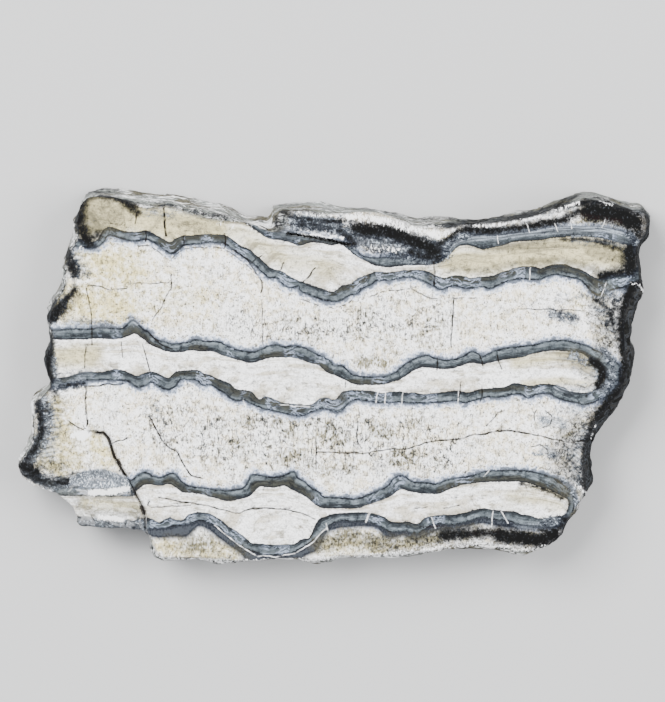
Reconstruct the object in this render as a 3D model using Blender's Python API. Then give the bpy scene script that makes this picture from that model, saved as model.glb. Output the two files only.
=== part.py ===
"""A polished slice of columbian mammoth molar, as one solid.

The slice lies on its sawn back with the polished face up: +X runs along the plates, +Y runs from plate
to plate, and +Z is the face's normal. Enamel, dentine and cementum grew as one piece, so one object
holds them all. Its sides are the tooth's own weathered outside at the left, right and bottom, and a
split along a plate at the top."""

import math

import bmesh
import bpy
from mathutils import Vector, noise

# Driving dimensions, in metres
SLICE_LENGTH = 0.102
THICKNESS = 0.010
STATION_STEP = 0.0010
SHOULDER_DEPTH = 0.0018
BACK_BREAK = 0.0003
LUMP_HEIGHT = 0.0006
LUMP_SIZE = 0.0032
GRAIN_HEIGHT = 0.0002
GRAIN_SIZE = 0.0011
CRUST_SINK = 0.3
CRACK_WIDTH = 0.00045
CRACK_DEPTH = 0.0008
GAP_WIDTH = 0.0005
GAP_DEPTH = 0.0035
CUTTER_RISE = 0.0015
RING_DEPTHS = (0.0, 0.0003, 0.0008, 0.0015, 0.0026, 0.0042, 0.0060, 0.0077, 0.0090, 0.0097, 0.0100)

# The rim is traced on a grid of squares, x to the right and y down the face. The face was seen from
# VIEW_TILT above its normal, which shortens the rows.
TRACED_LENGTH = 637.5
TRACE_CENTRE = (334.0, 382.0)
VIEW_TILT = math.radians(10)
COLUMN = SLICE_LENGTH / TRACED_LENGTH
ROW = COLUMN / math.cos(VIEW_TILT)

# Each rim point is x, y on the edge of the polished face, then how far the back edge stands out from it.
TOP_RIM = (
    (80, 203, 1, 3), (84, 198, 1, 4), (90, 195, 0, 5), (100, 194, 0, 3), (110, 195.5, 0, 2),
    (120, 198.5, 0, 0), (128, 202, 0, -2.5), (136, 207, 0, -7), (144, 211.5, 0, -11),
    (152, 212.5, 0, -11), (160, 212, 0, -9.5), (166, 208, 0, -5), (176, 208.5, 0, -4.5),
    (183, 214, 0, -8), (192, 218, 0, -11), (202, 221.5, 0, -12.5), (212, 224, 0, -14),
    (220, 224, 0, -13), (227, 222, 0, -8), (234, 221, 0, -2.5), (240, 221, 0, 0.5), (247, 222.5, 0, 2),
    (254, 224, 0, 0), (262, 227.5, -1, -4), (270, 231, -2, -5),
)
BLOCK_RIM = (
    (280, 233.5, -9, -5), (289, 234, -18, -8), (290, 227, -19, -6), (291, 219, -20, -3),
    (293, 213.5, -21, -1), (299, 212, -16, -1.5), (308, 211.5, -6, -2),
)
CROWN_RIM = (
    (320, 213, 0, -2.5), (335, 214, 0, -1), (348, 212.5, 0, 1), (362, 211, 0, 3), (378, 211.5, 0, 4),
    (390, 214, 0, 4.5), (402, 219, 0, 4), (412, 224, 0, 2), (421, 227, 0, 0), (430, 228.5, 0, -4),
    (440, 230, 0, -5), (449, 229.5, 0, -4.5), (456, 225, 0, 1), (464, 222.5, 0, 4), (476, 222, 0, 4.5),
    (490, 221.5, 0, 3), (503, 220, 0, 2.5), (516, 218, 0, 1.5), (530, 216.5, 0, 2), (544, 212, 0, 1),
    (554, 207.5, 0, 2), (562, 204, 0, 3), (572, 200.5, 0, 3.5), (584, 198.5, 0, 1.5), (596, 199, 0, 2),
    (607, 202.5, 0, 1), (618, 206.5, 0, 1), (630, 208, 0, 2.5), (638, 209.5, 4, 2),
)
RIGHT_RIM = (
    (642, 215, 9, 4), (643, 224, 8, 5), (640, 233, 9, 6), (636, 241, 8, 6), (635, 249, 5, 6),
    (636, 257, 3, 6), (637, 265, 6, 6), (638, 273, 6, 7), (638, 281, 7, 7), (634, 289, 11, 6),
    (629, 298, 12, 6), (625, 308, 12, 6), (622, 319, 12, 6), (621, 330, 12, 6), (622, 342, 12, 6),
    (624, 354, 11, 6), (626, 365, 9, 6), (625, 376, 8, 6), (622, 386, 7, 6), (617, 395, 9, 6),
    (609, 403, 11, 6), (601, 411, 15, 6), (595, 419, 15, 6), (591, 428, 10, 7), (588, 437, 8, 7),
    (584, 444, 9, 6), (582, 454, 12, 6), (582, 466, 13, 6), (583, 478, 12, 6), (585, 487, 7, 6),
    (585, 494, 3, 4), (582, 501, 1, 3), (578, 508, 2, 4), (572, 514, 4, 3), (568, 521, 2, 3),
    (566, 529, 2, 2), (562, 536, 3, 3), (555, 542, 4, 3),
)
BOTTOM_RIM = (
    (546, 545.5, 3, 5), (536, 549, 1, 5), (526, 550.5, 1, 10), (516, 549, 0, 11), (505, 545.5, 0, 10.5),
    (492, 543, 0, 10), (478, 542.5, 0, 10), (462, 543, 0, 10), (450, 544.5, 0, 9.5), (440, 547, 0, 10),
    (428, 549.5, 0, 9), (414, 551, 0, 9.5), (398, 552.5, 0, 9), (382, 553.5, 0, 9.5), (366, 555, 0, 9),
    (352, 556, 0, 8.5), (340, 556.5, 0, 7.5), (330, 559, 1, 9), (318, 561, 0, 7), (307, 560.5, 0, 7.5),
    (299, 558.5, 0, 6.5), (287, 559, 0, 5), (273, 559, 0, 5), (260, 560, 0, 6), (246, 560.5, 0, 7),
    (232, 561, 0, 7.5), (218, 560.5, 0, 7.5), (204, 558.5, 0, 7.5), (190, 557.5, 0, 7),
    (176, 558, 0, 7.5), (165, 557.5, -3, 8), (157, 554, -5, 8), (152.5, 547, -4, 6), (150, 540, -2, 4),
    (146, 534, -1, 3),
)
CORNER_RIM = (
    (138, 531, 0, 3.5), (126, 529.5, 0, 3.5), (114, 528.5, 0, 3.5), (102, 527, 0, 3.5), (90, 526.5, 0, 4),
    (80, 527.5, -1, 5), (76, 523, -2, 3), (75.5, 517, -2, 2), (73, 510, -2, 3), (69, 504, -2, 3),
    (62, 498, -2, 4), (55, 492, -2, 5), (47, 489, -1, 7), (40, 485.5, -2, 6), (32, 482, -3, 6),
    (25, 477, -4, 6), (21, 471, -4, 4),
)
LEFT_RIM = (
    (20, 464, -5, 3), (24, 457, -7, 4), (28, 450, -7, 5), (32, 442, -7, 6), (34.5, 433, -6, 6),
    (35, 424, -6, 6), (34, 415, -6, 6), (34, 407, -6, 5), (36, 401, -8, 4), (41, 397, -9, 4),
    (46.5, 392, -8, 4), (50.5, 387, -5, 5), (51, 379, -3, 5), (48, 371, -3, 5), (45.5, 362, -3, 5),
    (45.5, 354, -3, 5), (49, 347, -4, 5), (52, 340, -4, 5), (52, 333, -4, 5), (50, 326, -4, 5),
    (49.5, 319, -4, 5), (51, 312, -5, 4), (56.5, 304, -9, 4), (62, 297, -10, 4), (67, 290, -9, 5),
    (69, 281, -9, 6), (69, 270, -8.5, 6), (69, 260, -8, 6), (72, 251, -8, 6), (76, 244, -9, 6),
    (80, 238, -10, 5), (81, 230, -10, 5), (79.5, 222, -8, 6), (79, 213, -2, 7),
)

# The broken lower left corner: lines of points from where the polish ends down to below the rim, each
# x, y on the grid and a depth under the face in millimetres.
CHIP_LINES = (
    ((14, 473, -0.1), (32, 475, -0.1), (50, 474, -0.1), (66, 474, -0.1), (80, 470, -0.1),
     (94, 468, -0.1), (108, 470.5, -0.1), (118, 475, -0.1), (127, 479, -0.1)),
    ((14, 479, 0.5), (32, 481, 0.6), (52, 481, 0.7), (68, 481, 1.0), (82, 479, 1.1),
     (96, 478, 1.1), (110, 479, 1.0), (120, 483, 0.7), (130, 486, 0.35)),
    ((14, 486, 0.9), (36, 489, 1.1), (56, 494, 1.3), (70, 495, 1.2), (84, 495, 1.15),
     (98, 495, 1.1), (112, 495, 1.0), (124, 495, 0.75), (134, 495, 0.35)),
    ((14, 495, 1.3), (38, 500, 1.4), (58, 508, 1.5), (72, 514, 1.25), (86, 514, 1.15),
     (100, 514, 1.0), (115, 514, 0.9), (129, 514, 0.6), (143, 514, 0.35)),
    ((14, 505, 1.9), (38, 515, 2.0), (58, 530, 2.0), (70, 548, 1.9), (86, 548, 1.7),
     (100, 548, 1.6), (115, 548, 1.5), (130, 548, 1.2), (147, 548, 0.9)),
)

# The open crack around the glued corner, from its start in the cementum down to the rim
CRACK = (
    (89, 432), (97, 432.5), (103, 433), (107, 436.5), (109.5, 442), (111.5, 449.5), (113.5, 457),
    (117, 462), (120, 467.5), (123.5, 474), (127, 479), (131, 486.5), (136, 498), (140.5, 506),
    (143.5, 514), (144, 521), (144, 528), (146, 538),
)
# The gap where the block at the top has parted from the enamel under it
GAP = ((288, 234.5), (297, 235.5), (308, 237), (320, 239), (332, 241.5), (341, 243.5), (349, 245.5))


def placed(x, y, z):
    """A point of the traced grid, as a position of the slice."""
    return Vector(((x - TRACE_CENTRE[0]) * COLUMN, (TRACE_CENTRE[1] - y) * ROW, z))


def rim_stations():
    """Pairs of points round the rim, on the face's edge and on the back's, clockwise from above."""
    rows = TOP_RIM + BLOCK_RIM + CROWN_RIM + RIGHT_RIM + BOTTOM_RIM + CORNER_RIM + LEFT_RIM
    pairs = []
    for x, y, out_x, out_y in rows:
        pairs.append((placed(x, y, THICKNESS), placed(x + out_x, y + out_y, 0)))
    stations = []
    for (face, back), (next_face, next_back) in zip(pairs, pairs[1:] + pairs[:1]):
        steps = max(1, round((next_face - face).length / STATION_STEP))
        for step in range(steps):
            share = step / steps
            stations.append((face.lerp(next_face, share), back.lerp(next_back, share)))
    return stations


def outward(stations, index):
    """The level direction out of the slice at a station, averaged over its neighbours."""
    ahead = stations[(index + 2) % len(stations)][0]
    behind = stations[index - 2][0]
    along = (ahead - behind).normalized()
    return Vector((-along.y, along.x, 0))


def crust_height(point, out):
    """How far the broken or weathered side stands out at a point: ribs up the tooth's own sides, and
    ledges along the plate where it was split. Most of it lies inside the traced rim."""
    ledge = abs(out.y)
    upright = 0.35 + 1.9 * ledge
    lengthwise = 1 - 0.55 * ledge
    stretched = Vector((point.x * lengthwise, point.y, point.z * upright))
    lumps = noise.fractal(stretched / LUMP_SIZE, 0.9, 2.0, 3)
    grain = noise.noise(stretched / GRAIN_SIZE)
    return LUMP_HEIGHT * (lumps - CRUST_SINK) + GRAIN_HEIGHT * (grain - CRUST_SINK)


def ring_point(face, back, out, depth):
    """Where the side passes a depth under the polished face."""
    reach = min(depth / SHOULDER_DEPTH, 1)
    point = face.lerp(back, 1 - (1 - reach) ** 2)
    point.z = THICKNESS - depth
    roughness = 0.35 + 0.65 * reach
    point += out * (crust_height(point, out) * roughness)
    if depth == THICKNESS:
        point -= out * BACK_BREAK
    return point


def object_from(name, mesh_data):
    mesh = bpy.data.meshes.new(name)
    bmesh.ops.recalc_face_normals(mesh_data, faces=mesh_data.faces)
    mesh_data.to_mesh(mesh)
    mesh_data.free()
    made = bpy.data.objects.new(name, mesh)
    bpy.context.collection.objects.link(made)
    return made


def slab():
    """The slice before its breaks: rings of points from the polished face down to the sawn back."""
    stations = rim_stations()
    body = bmesh.new()
    rings = []
    for depth in RING_DEPTHS:
        ring = []
        for index, (face, back) in enumerate(stations):
            out = outward(stations, index)
            ring.append(body.verts.new(ring_point(face, back, out, depth)))
        rings.append(ring)
    for upper, lower in zip(rings, rings[1:]):
        for index in range(len(stations)):
            near, far = index - 1, index
            body.faces.new((upper[near], upper[far], lower[far], lower[near]))
    body.faces.new(rings[0])
    body.faces.new(rings[-1])
    bmesh.ops.triangulate(body, faces=body.faces[:])
    return object_from("tooth_slice", body)


def hidden_cutter(name, mesh_data):
    cutter = object_from(name, mesh_data)
    cutter.hide_render = True
    cutter.display_type = "WIRE"
    return cutter


def chip_cutter():
    """Everything above the broken corner's hollow and ledge."""
    body = bmesh.new()
    floor = []
    for line in CHIP_LINES:
        points = [placed(x, y, THICKNESS - depth / 1000) for x, y, depth in line]
        for point in points:
            point.z += GRAIN_HEIGHT * noise.noise(point / GRAIN_SIZE)
        floor.append([body.verts.new(point) for point in points])
    for line, below in zip(floor, floor[1:]):
        for index in range(len(line) - 1):
            body.faces.new((line[index], below[index], below[index + 1], line[index + 1]))
    bmesh.ops.subdivide_edges(body, edges=body.edges[:], cuts=1, use_grid_fill=True)
    raised = bmesh.ops.extrude_face_region(body, geom=body.faces[:])["geom"]
    for item in raised:
        if isinstance(item, bmesh.types.BMVert):
            item.co.z = THICKNESS + CUTTER_RISE
    return hidden_cutter("chip_cutter", body)


def wedge_cutter(name, route, width, depth):
    """A V-shaped cutter along a traced route, pinched at its first point."""
    points = [placed(x, y, THICKNESS) for x, y in route]
    body = bmesh.new()
    sections = []
    for index, point in enumerate(points):
        ahead = points[min(index + 1, len(points) - 1)]
        behind = points[max(index - 1, 0)]
        along = (ahead - behind).normalized()
        side = Vector((-along.y, along.x, 0))
        half = width / 2 * min(1, 0.25 + index / 2)
        rise = Vector((0, 0, CUTTER_RISE))
        drop = Vector((0, 0, -depth))
        spread = half * (1 + CUTTER_RISE / depth)
        corners = (point + side * spread + rise, point - side * spread + rise, point + drop)
        sections.append([body.verts.new(corner) for corner in corners])
    for section, following in zip(sections, sections[1:]):
        for index in range(3):
            body.faces.new((section[index - 1], section[index], following[index], following[index - 1]))
    body.faces.new(sections[0])
    body.faces.new(sections[-1])
    return hidden_cutter(name, body)


def cut(target, cutter):
    boolean = target.modifiers.new(cutter.name, "BOOLEAN")
    boolean.operation = "DIFFERENCE"
    boolean.solver = "EXACT"
    boolean.object = cutter


def fossil_material():
    """Polished fossil ivory-grey: the mean of cream cementum, dentine and blue-grey enamel."""
    material = bpy.data.materials.new("fossil_tooth")
    material.use_nodes = True
    shader = material.node_tree.nodes["Principled BSDF"]
    shader.inputs["Base Color"].default_value = (0.62, 0.58, 0.50, 1)
    shader.inputs["Roughness"].default_value = 0.42
    shader.inputs["Metallic"].default_value = 0
    return material


def main():
    for old in list(bpy.data.objects):
        bpy.data.objects.remove(old, do_unlink=True)
    slice_object = slab()
    cut(slice_object, chip_cutter())
    cut(slice_object, wedge_cutter("crack_cutter", CRACK, CRACK_WIDTH, CRACK_DEPTH))
    cut(slice_object, wedge_cutter("gap_cutter", GAP, GAP_WIDTH, GAP_DEPTH))
    slice_object.data.materials.append(fossil_material())


main()
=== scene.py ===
import math

import bpy
import numpy as np
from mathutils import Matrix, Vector, kdtree


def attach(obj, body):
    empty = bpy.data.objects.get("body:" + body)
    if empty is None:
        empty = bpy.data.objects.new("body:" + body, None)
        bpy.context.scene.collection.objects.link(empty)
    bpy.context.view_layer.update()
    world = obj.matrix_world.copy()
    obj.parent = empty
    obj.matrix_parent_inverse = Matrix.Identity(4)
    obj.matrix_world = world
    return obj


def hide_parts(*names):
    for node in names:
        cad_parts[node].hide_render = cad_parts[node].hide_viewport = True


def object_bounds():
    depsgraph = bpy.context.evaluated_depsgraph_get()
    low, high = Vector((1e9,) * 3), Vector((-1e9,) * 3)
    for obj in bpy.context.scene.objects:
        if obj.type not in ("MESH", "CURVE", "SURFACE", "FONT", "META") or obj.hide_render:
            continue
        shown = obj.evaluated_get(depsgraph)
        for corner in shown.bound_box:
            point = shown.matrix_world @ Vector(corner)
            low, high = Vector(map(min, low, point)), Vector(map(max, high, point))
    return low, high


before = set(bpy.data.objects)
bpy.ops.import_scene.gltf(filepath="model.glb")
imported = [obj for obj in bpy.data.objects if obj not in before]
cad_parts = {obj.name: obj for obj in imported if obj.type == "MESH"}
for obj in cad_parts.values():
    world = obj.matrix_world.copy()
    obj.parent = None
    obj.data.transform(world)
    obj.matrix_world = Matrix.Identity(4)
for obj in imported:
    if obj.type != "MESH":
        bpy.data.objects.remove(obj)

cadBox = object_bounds()
faceHeight = cadBox[1].z

# The traced lines below are x, y on a grid of squares seen from a little above the face: x runs right,
# y runs down. These turn a grid point into metres on the slice.
viewTilt = math.radians(10)
grid = {
    "centreX": 334.0,
    "centreY": 382.0,
    "column": 0.102 / 637.5,
    "row": 0.102 / 637.5 / math.cos(viewTilt),
    "lean": math.tan(viewTilt),
}

# The growth lines of the three plates, top to bottom: the two edges of each enamel band
plateTop = {
    "dentine": (
        (84, 240), (74, 236), (70, 222), (72, 192), (110, 180), (180, 190), (222, 212),
        (223.5, 222), (230, 221.5), (237, 220.5), (242.5, 221.5), (250, 227), (256.5, 231.5), (265, 237.5),
        (270.5, 240), (280, 240.5), (290, 243), (298.5, 246.5), (303, 246), (310, 242.5), (317.5, 243),
        (330, 246), (335, 245.5), (340, 243.5), (345.5, 248), (354.5, 256), (364.5, 261), (372.5, 265.5),
        (382.5, 267.5), (390, 268), (404, 266), (419.5, 265.5), (433, 265.5), (441.5, 262.5), (450, 256),
        (455, 249.5), (458.5, 246.5), (468.5, 245.5), (479.5, 249.5), (483, 250.5), (492, 248),
        (503.5, 246), (509, 243.5), (516, 242), (540, 241), (554, 238), (576, 237), (593, 238), (607, 240),
        (619.5, 244), (627.5, 246), (631, 254), (636.5, 263), (636, 268), (629.5, 269.5), (620, 273.5),
        (614, 272), (604, 274), (600, 278.5), (596, 278.5), (590.5, 275), (582.5, 270), (574, 267.5),
        (564, 264), (556, 264), (547, 265.5), (540.5, 269), (533.5, 266), (521, 266), (510, 269),
        (500, 272.5), (491, 276.5), (479.5, 276.5), (470.5, 278.5), (464, 275.5), (450.5, 275), (446, 278),
        (439.5, 277), (433, 274), (428, 271), (415, 269.5), (402.5, 270.5), (390, 272.5), (374.5, 271),
        (370, 273.5), (362.5, 276), (355, 279.5), (350, 284.5), (342.5, 285), (339, 287), (335, 291.5),
        (330, 291.5), (321, 288), (308.5, 283.5), (298.5, 280.5), (290, 276), (281.5, 270.5), (273, 269),
        (268, 266), (261, 258.5), (255.5, 254.5), (250, 249), (241.5, 246), (235, 241), (229, 236.5),
        (222.5, 234), (200, 234.5), (192, 235.5), (182, 235.5), (175, 239), (170.5, 243), (163, 238.5),
        (154, 233.5), (145.5, 230), (139.5, 232), (126, 232), (119, 229), (111, 226.5), (105, 228.5),
        (101, 234.5), (97, 241.5), (90, 242),
    ),
    "enamel": (
        (95, 249), (84, 247), (60, 244), (56, 222), (62, 180), (120, 168), (200, 180), (236, 206),
        (242.5, 220.5), (255, 223), (265, 228), (281.5, 232.5), (302, 236), (326, 241), (342, 242),
        (352.5, 249), (363.5, 257), (370, 258), (400, 258), (420, 260), (434, 262.5), (442, 258),
        (448.5, 250.5), (452, 244), (462, 239.5), (480, 236), (500, 236), (510, 234), (530, 232.5),
        (550, 230), (560, 229), (590, 229), (597, 228), (610, 231), (626, 235), (632, 240), (636, 246),
        (650, 252), (652, 280), (639.5, 280.5), (636, 283.5), (626, 287.5), (610, 289.5), (602, 295),
        (594, 295), (587, 287.5), (579.5, 278.5), (568, 277.5), (557, 274), (547, 276), (538, 280.5),
        (523.5, 278.5), (510, 280), (498.5, 285), (489.5, 289.5), (479.5, 285.5), (474, 288.5),
        (464, 288.5), (456, 285.5), (447, 287.5), (440.5, 290.5), (434, 286.5), (429, 284), (419.5, 279),
        (407, 276.5), (390, 280.5), (376.5, 280), (371.5, 285), (362.5, 288), (358, 293.5), (347, 296),
        (342.5, 300), (334, 302), (321, 300), (310, 295), (299, 290.5), (300, 285), (293, 288.5),
        (284, 286), (277.5, 277), (270, 279), (262.5, 272.5), (252, 262), (242.5, 256.5), (233.5, 250.5),
        (226, 243.5), (210, 242), (200, 244), (184, 245), (178, 252), (171, 255), (163, 248), (154, 242.5),
        (147, 239), (135, 242), (126, 240), (114, 236.5), (109.5, 234), (104, 243),
    ),
}

plateMiddle = {
    "dentine": (
        (30, 339), (50, 339), (63.5, 340.5), (77, 339.5), (86, 340), (97, 338.5), (117, 340), (126, 337.5),
        (133, 334.5), (135, 334), (142, 338), (148.5, 344.5), (156.5, 348), (165.5, 352), (181.5, 353),
        (192.5, 350), (202.5, 352.5), (210, 350.5), (219, 354.5), (229, 358), (243.5, 361.5), (251.5, 364),
        (260.5, 361), (270.5, 357.5), (294, 357.5), (304, 361), (310.5, 364), (318.5, 365), (323.5, 370.5),
        (330, 374.5), (335.5, 375.5), (344, 380), (350, 383), (355.5, 385), (383.5, 385.5), (393.5, 382),
        (399, 380.5), (407, 375.5), (415, 370), (424, 367), (433, 368.5), (450, 370), (459.5, 366.5),
        (472.5, 362.5), (481, 365), (494, 362.5), (508, 359), (521.5, 358), (531.5, 354.5), (540.5, 352.5),
        (552.5, 350.5), (568, 352), (581.5, 352.5), (588, 358), (596, 364.5), (603, 370), (604.5, 374.5),
        (604, 379), (604, 382.3), (597.2, 387.9), (589.4, 392.9), (579.4, 392.3), (568.7, 390.7),
        (567, 387.9), (554.2, 384), (539, 383.4), (532.4, 386.2), (523.5, 384), (512.3, 382.3),
        (511.2, 384.5), (502.3, 387.3), (496.4, 387.6), (486.4, 388.4), (478.5, 389), (469.6, 392.3),
        (465, 392.3), (461.8, 390.7), (452.9, 390.4), (437, 392.9), (422.7, 394), (413.8, 391.8),
        (407, 392.9), (401.5, 391.2), (390.3, 391.2), (382.5, 393.5), (369, 390), (354.6, 389.9),
        (343.4, 390.7), (340, 392.9), (337.5, 397), (334.2, 400.2), (326.4, 396.8), (320.8, 397.4),
        (317.4, 399.6), (315.2, 402.4), (308.5, 405.2), (298.4, 404), (288.4, 403.3), (280, 401.8),
        (276, 399.6), (267.2, 395.9), (262.7, 396.8), (260.5, 399.3), (258.2, 398.8), (252.7, 392.3),
        (249.3, 390), (235.3, 389.5), (232.5, 385), (228, 382), (218, 378.6), (209, 373.9), (203.5, 373.3),
        (200, 370.5), (195.7, 369.4), (186.8, 370.2), (176.7, 370.5), (172, 374.5), (167.5, 378.5),
        (162, 375), (154, 371), (144, 372), (137.5, 376), (131.5, 374), (124, 370), (114, 368.5),
        (99.5, 372.5), (90.5, 371), (78, 372.5), (70, 376), (58, 378), (30, 379),
    ),
    "enamel": (
        (30, 331), (50.2, 330.8), (63.6, 329.5), (77, 328.6), (86, 329.7), (95, 328), (105, 327.5),
        (121.7, 329.4), (128.4, 324), (132.9, 319.7), (139.6, 325.3), (144, 330), (148.5, 330.8),
        (154, 338.7), (164, 342), (173, 344.8), (182, 343), (191.2, 342), (192.3, 339.6), (199.6, 339.8),
        (204.6, 341.8), (218, 340.9), (224.7, 344.8), (234.8, 349.3), (248.2, 352), (254.9, 352),
        (262.7, 348.7), (267.2, 345.9), (278.9, 344.5), (281.7, 347), (294, 345.4), (305.2, 347.6),
        (314.1, 353.2), (325.3, 357.7), (332, 362.1), (333, 367), (340, 365.2), (344.5, 366.6),
        (350.7, 374.4), (359, 376.4), (374.7, 377.2), (383.6, 377.2), (393.7, 373.9), (401.5, 367),
        (411.5, 359.9), (418.2, 357), (428, 354.9), (435, 358.8), (446.2, 360.8), (458.4, 358.2),
        (464, 356.5), (468.5, 352), (475.2, 351.5), (481.9, 357.7), (492, 352), (501.2, 348.7),
        (519, 346.5), (534.7, 344.8), (550.3, 340.9), (559.2, 340), (568.2, 340.9), (585, 344.8),
        (597.2, 351), (608.4, 356.5), (618.4, 363.2), (621.2, 372), (619, 384), (614, 390), (610.6, 395.7),
        (606.2, 397.9), (600.6, 398.5), (595, 402.4), (585, 405.5), (574.9, 402.4), (567, 401.3),
        (556, 397.4), (549.2, 393.2), (538, 393.5), (530.2, 398), (525.7, 397.4), (522.4, 394),
        (513.5, 393.7), (503.4, 397.4), (486.4, 396.8), (476.3, 399.9), (465, 403.3), (461.2, 402.4),
        (457.3, 399.9), (440.6, 402.4), (412.7, 403.5), (401.5, 401.6), (382.5, 403), (364.6, 400.7),
        (354.6, 399.3), (349, 402.4), (342.3, 410.2), (336.4, 413), (326.4, 408.5), (319.7, 409),
        (307.4, 413.6), (301.8, 416.4), (288.4, 414.7), (273.9, 410.8), (261.6, 408.5), (250.4, 403.5),
        (243.7, 399.3), (238, 401.5), (229.2, 398.5), (225.8, 393.5), (218, 390), (210.2, 383.4),
        (202.4, 386.2), (196.8, 379.5), (189, 379.5), (180, 378.4), (176.7, 385.6), (170.8, 390),
        (164, 389.5), (159.7, 386.8), (150.7, 381.2), (146.3, 385), (139.6, 387.9), (135, 386.8),
        (129.5, 381.2), (110, 379.5), (88, 380), (73.7, 381), (58, 384), (30, 386),
    ),
}

plateBottom = {
    "dentine": (
        (137, 498), (134, 492.9), (139.6, 488.5), (146.3, 484.2), (159.7, 487.3), (166.4, 485),
        (170.8, 485), (175.6, 489), (180, 492.4), (185.6, 493.8), (194, 493.7), (205.7, 496.5),
        (218, 500.2), (230.3, 502.4), (239.3, 500.2), (248.2, 498), (252.7, 494.6), (256, 490),
        (260.5, 486.8), (268.3, 488.2), (275, 488.7), (281.7, 486.4), (285, 486.4), (291.7, 490.7),
        (299.6, 494), (308.5, 499.6), (315.2, 505.8), (319.7, 508.6), (329.7, 509.5), (359.6, 509.7),
        (364.6, 506.9), (374.7, 503.5), (389.2, 498.5), (396, 493.5), (399.2, 490.5), (402.6, 489.8),
        (409.3, 492.4), (422.7, 494.3), (436, 495.2), (440.6, 494.9), (449.5, 490), (458.4, 487.3),
        (464, 485.3), (476.3, 483.8), (484, 482.9), (504.5, 482.6), (514.6, 482.3), (529, 483.4),
        (538, 487.3), (549.2, 490), (558, 494.6), (567, 499), (569.9, 503.5), (568.7, 506.9),
        (567.6, 511.9), (566, 515.8), (561.5, 516.9), (552.5, 518.4), (542.5, 519.4), (538, 518.6),
        (531.3, 515.8), (522.4, 515.3), (516.8, 511.7), (504.5, 511.4), (493, 510.2), (485.3, 508.3),
        (476.3, 509.9), (464, 513.3), (454, 515.5), (440.6, 515.3), (433.9, 516.2), (423.8, 518.6),
        (419.4, 524.2), (416, 524.8), (408.2, 521.7), (399.2, 523.3), (390.9, 522.5), (385.8, 518),
        (376.9, 514.4), (363.5, 512.5), (341, 513.3), (329.7, 514.7), (326.4, 517), (320.8, 518),
        (317.4, 520.8), (313, 529.8), (309, 539.3), (306.3, 539), (298.4, 541), (295, 545.2),
        (290.6, 544.5), (273.9, 546), (262.7, 544.5), (251.5, 544.3), (248.2, 541), (239.3, 533.7),
        (228, 527), (219, 519.2), (211.3, 514.7), (200, 512.2), (189, 514), (184.5, 517.5), (182.8, 520.8),
        (175.3, 520.8), (170.8, 518.4), (166.4, 518.4), (161.9, 520.3), (159.7, 523), (156.3, 522.5),
        (148.5, 518), (144, 518.4), (137, 519), (130, 523), (120, 525), (106, 523), (95, 521), (91, 518),
        (86, 516.5), (80, 517.5), (74, 517), (50, 516), (50, 497), (70, 497),
    ),
    "enamel": (
        (120, 484), (130.6, 480.6), (138.5, 475), (145, 471.5), (151.8, 476.7), (160.2, 479), (167.5, 474),
        (174.5, 473.4), (180.6, 482.3), (190, 487.3), (209, 489.6), (229.2, 491.8), (232.5, 489.8),
        (242.6, 490), (248.2, 481.8), (251.5, 473.4), (262.7, 477.3), (280.6, 477.3), (291.7, 471.7),
        (295, 472.8), (297.3, 478.4), (306.3, 483.4), (310.7, 488.5), (320.2, 492.4), (320.8, 496.8),
        (329.7, 498.3), (350, 498.7), (355.7, 500.2), (369, 495.2), (380.3, 490.5), (389.2, 486.2),
        (390.9, 481.8), (397, 476.4), (402.6, 476.2), (407, 477.8), (412.7, 482.9), (426, 483),
        (439.5, 484.9), (441.7, 482.6), (450.6, 479.5), (473, 476.2), (486.4, 471.7), (504.5, 470.6),
        (526.9, 471), (541.4, 473.9), (558, 479.5), (564.8, 486.2), (572.7, 492.4), (576, 507.4),
        (573.8, 513), (567, 525.3), (532.4, 526.4), (517.9, 524.8), (507.9, 520.8), (493, 520.8),
        (484, 516.9), (470.7, 521.4), (454, 526.2), (441.7, 524.2), (431.6, 525.3), (425, 531.5),
        (414.9, 535), (406, 531.5), (392.5, 533.4), (388, 532.6), (379, 525.3), (363.5, 521.4),
        (351.2, 522.5), (340, 520.3), (328.6, 526.4), (324, 530.9), (315.2, 539.3), (305.2, 547),
        (294, 553.2), (280.6, 556), (262.7, 556.6), (252.7, 552.7), (241.5, 547.7), (230.3, 538.7),
        (219, 529.2), (210.2, 524.2), (200, 520.6), (191.2, 524.2), (175.3, 526.4), (163, 529.2),
        (144, 529.2), (130, 532), (100, 532), (50, 533), (46, 492), (70, 488),
    ),
}

# The dark layer that lies outside the lowest enamel, along the bottom of the slice
underLayer = (
    (144, 529), (163, 529), (175.3, 526), (191.2, 524), (200, 520.6), (210.2, 524), (219, 529),
    (230.3, 538.7), (241.5, 547.7), (252.7, 552.7), (262.7, 556.6), (280.6, 556), (294, 553.2),
    (305.2, 547), (315.2, 539.3), (324, 530.9), (328.6, 526.4), (340, 520.3), (351.2, 522.5),
    (363.5, 521.4), (379, 525.3), (388, 532.6), (392.5, 533.4), (406, 531.5), (414.9, 535), (425, 531.5),
    (431.6, 525.3), (441.7, 524.2), (454, 526.2), (470.7, 521.4), (484, 516.9), (493, 520.8),
    (507.9, 520.8), (517.9, 524.8), (532.4, 526.4), (567, 525.3), (567, 528), (541.4, 530),
    (515.7, 529.4), (489.7, 526), (484, 524), (471.9, 527), (450.6, 531.5), (437.2, 531.3), (428.3, 536),
    (419.4, 542), (410.4, 541), (403.7, 536), (397, 539), (390.3, 539.4), (384.7, 538), (378, 529.6),
    (372.4, 528), (359, 527.5), (335.3, 529.6), (326.4, 533.6), (320.8, 546.5), (317.4, 552.5),
    (305.2, 557), (302.9, 561), (299.6, 566), (247, 566), (241.5, 556), (230.3, 548.4), (216.9, 538.6),
    (208, 531), (199.6, 527), (195.7, 528.6), (187.9, 537.5), (182.3, 539.2), (176.7, 538), (160, 539.5),
    (150, 538), (144, 534),
)

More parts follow.
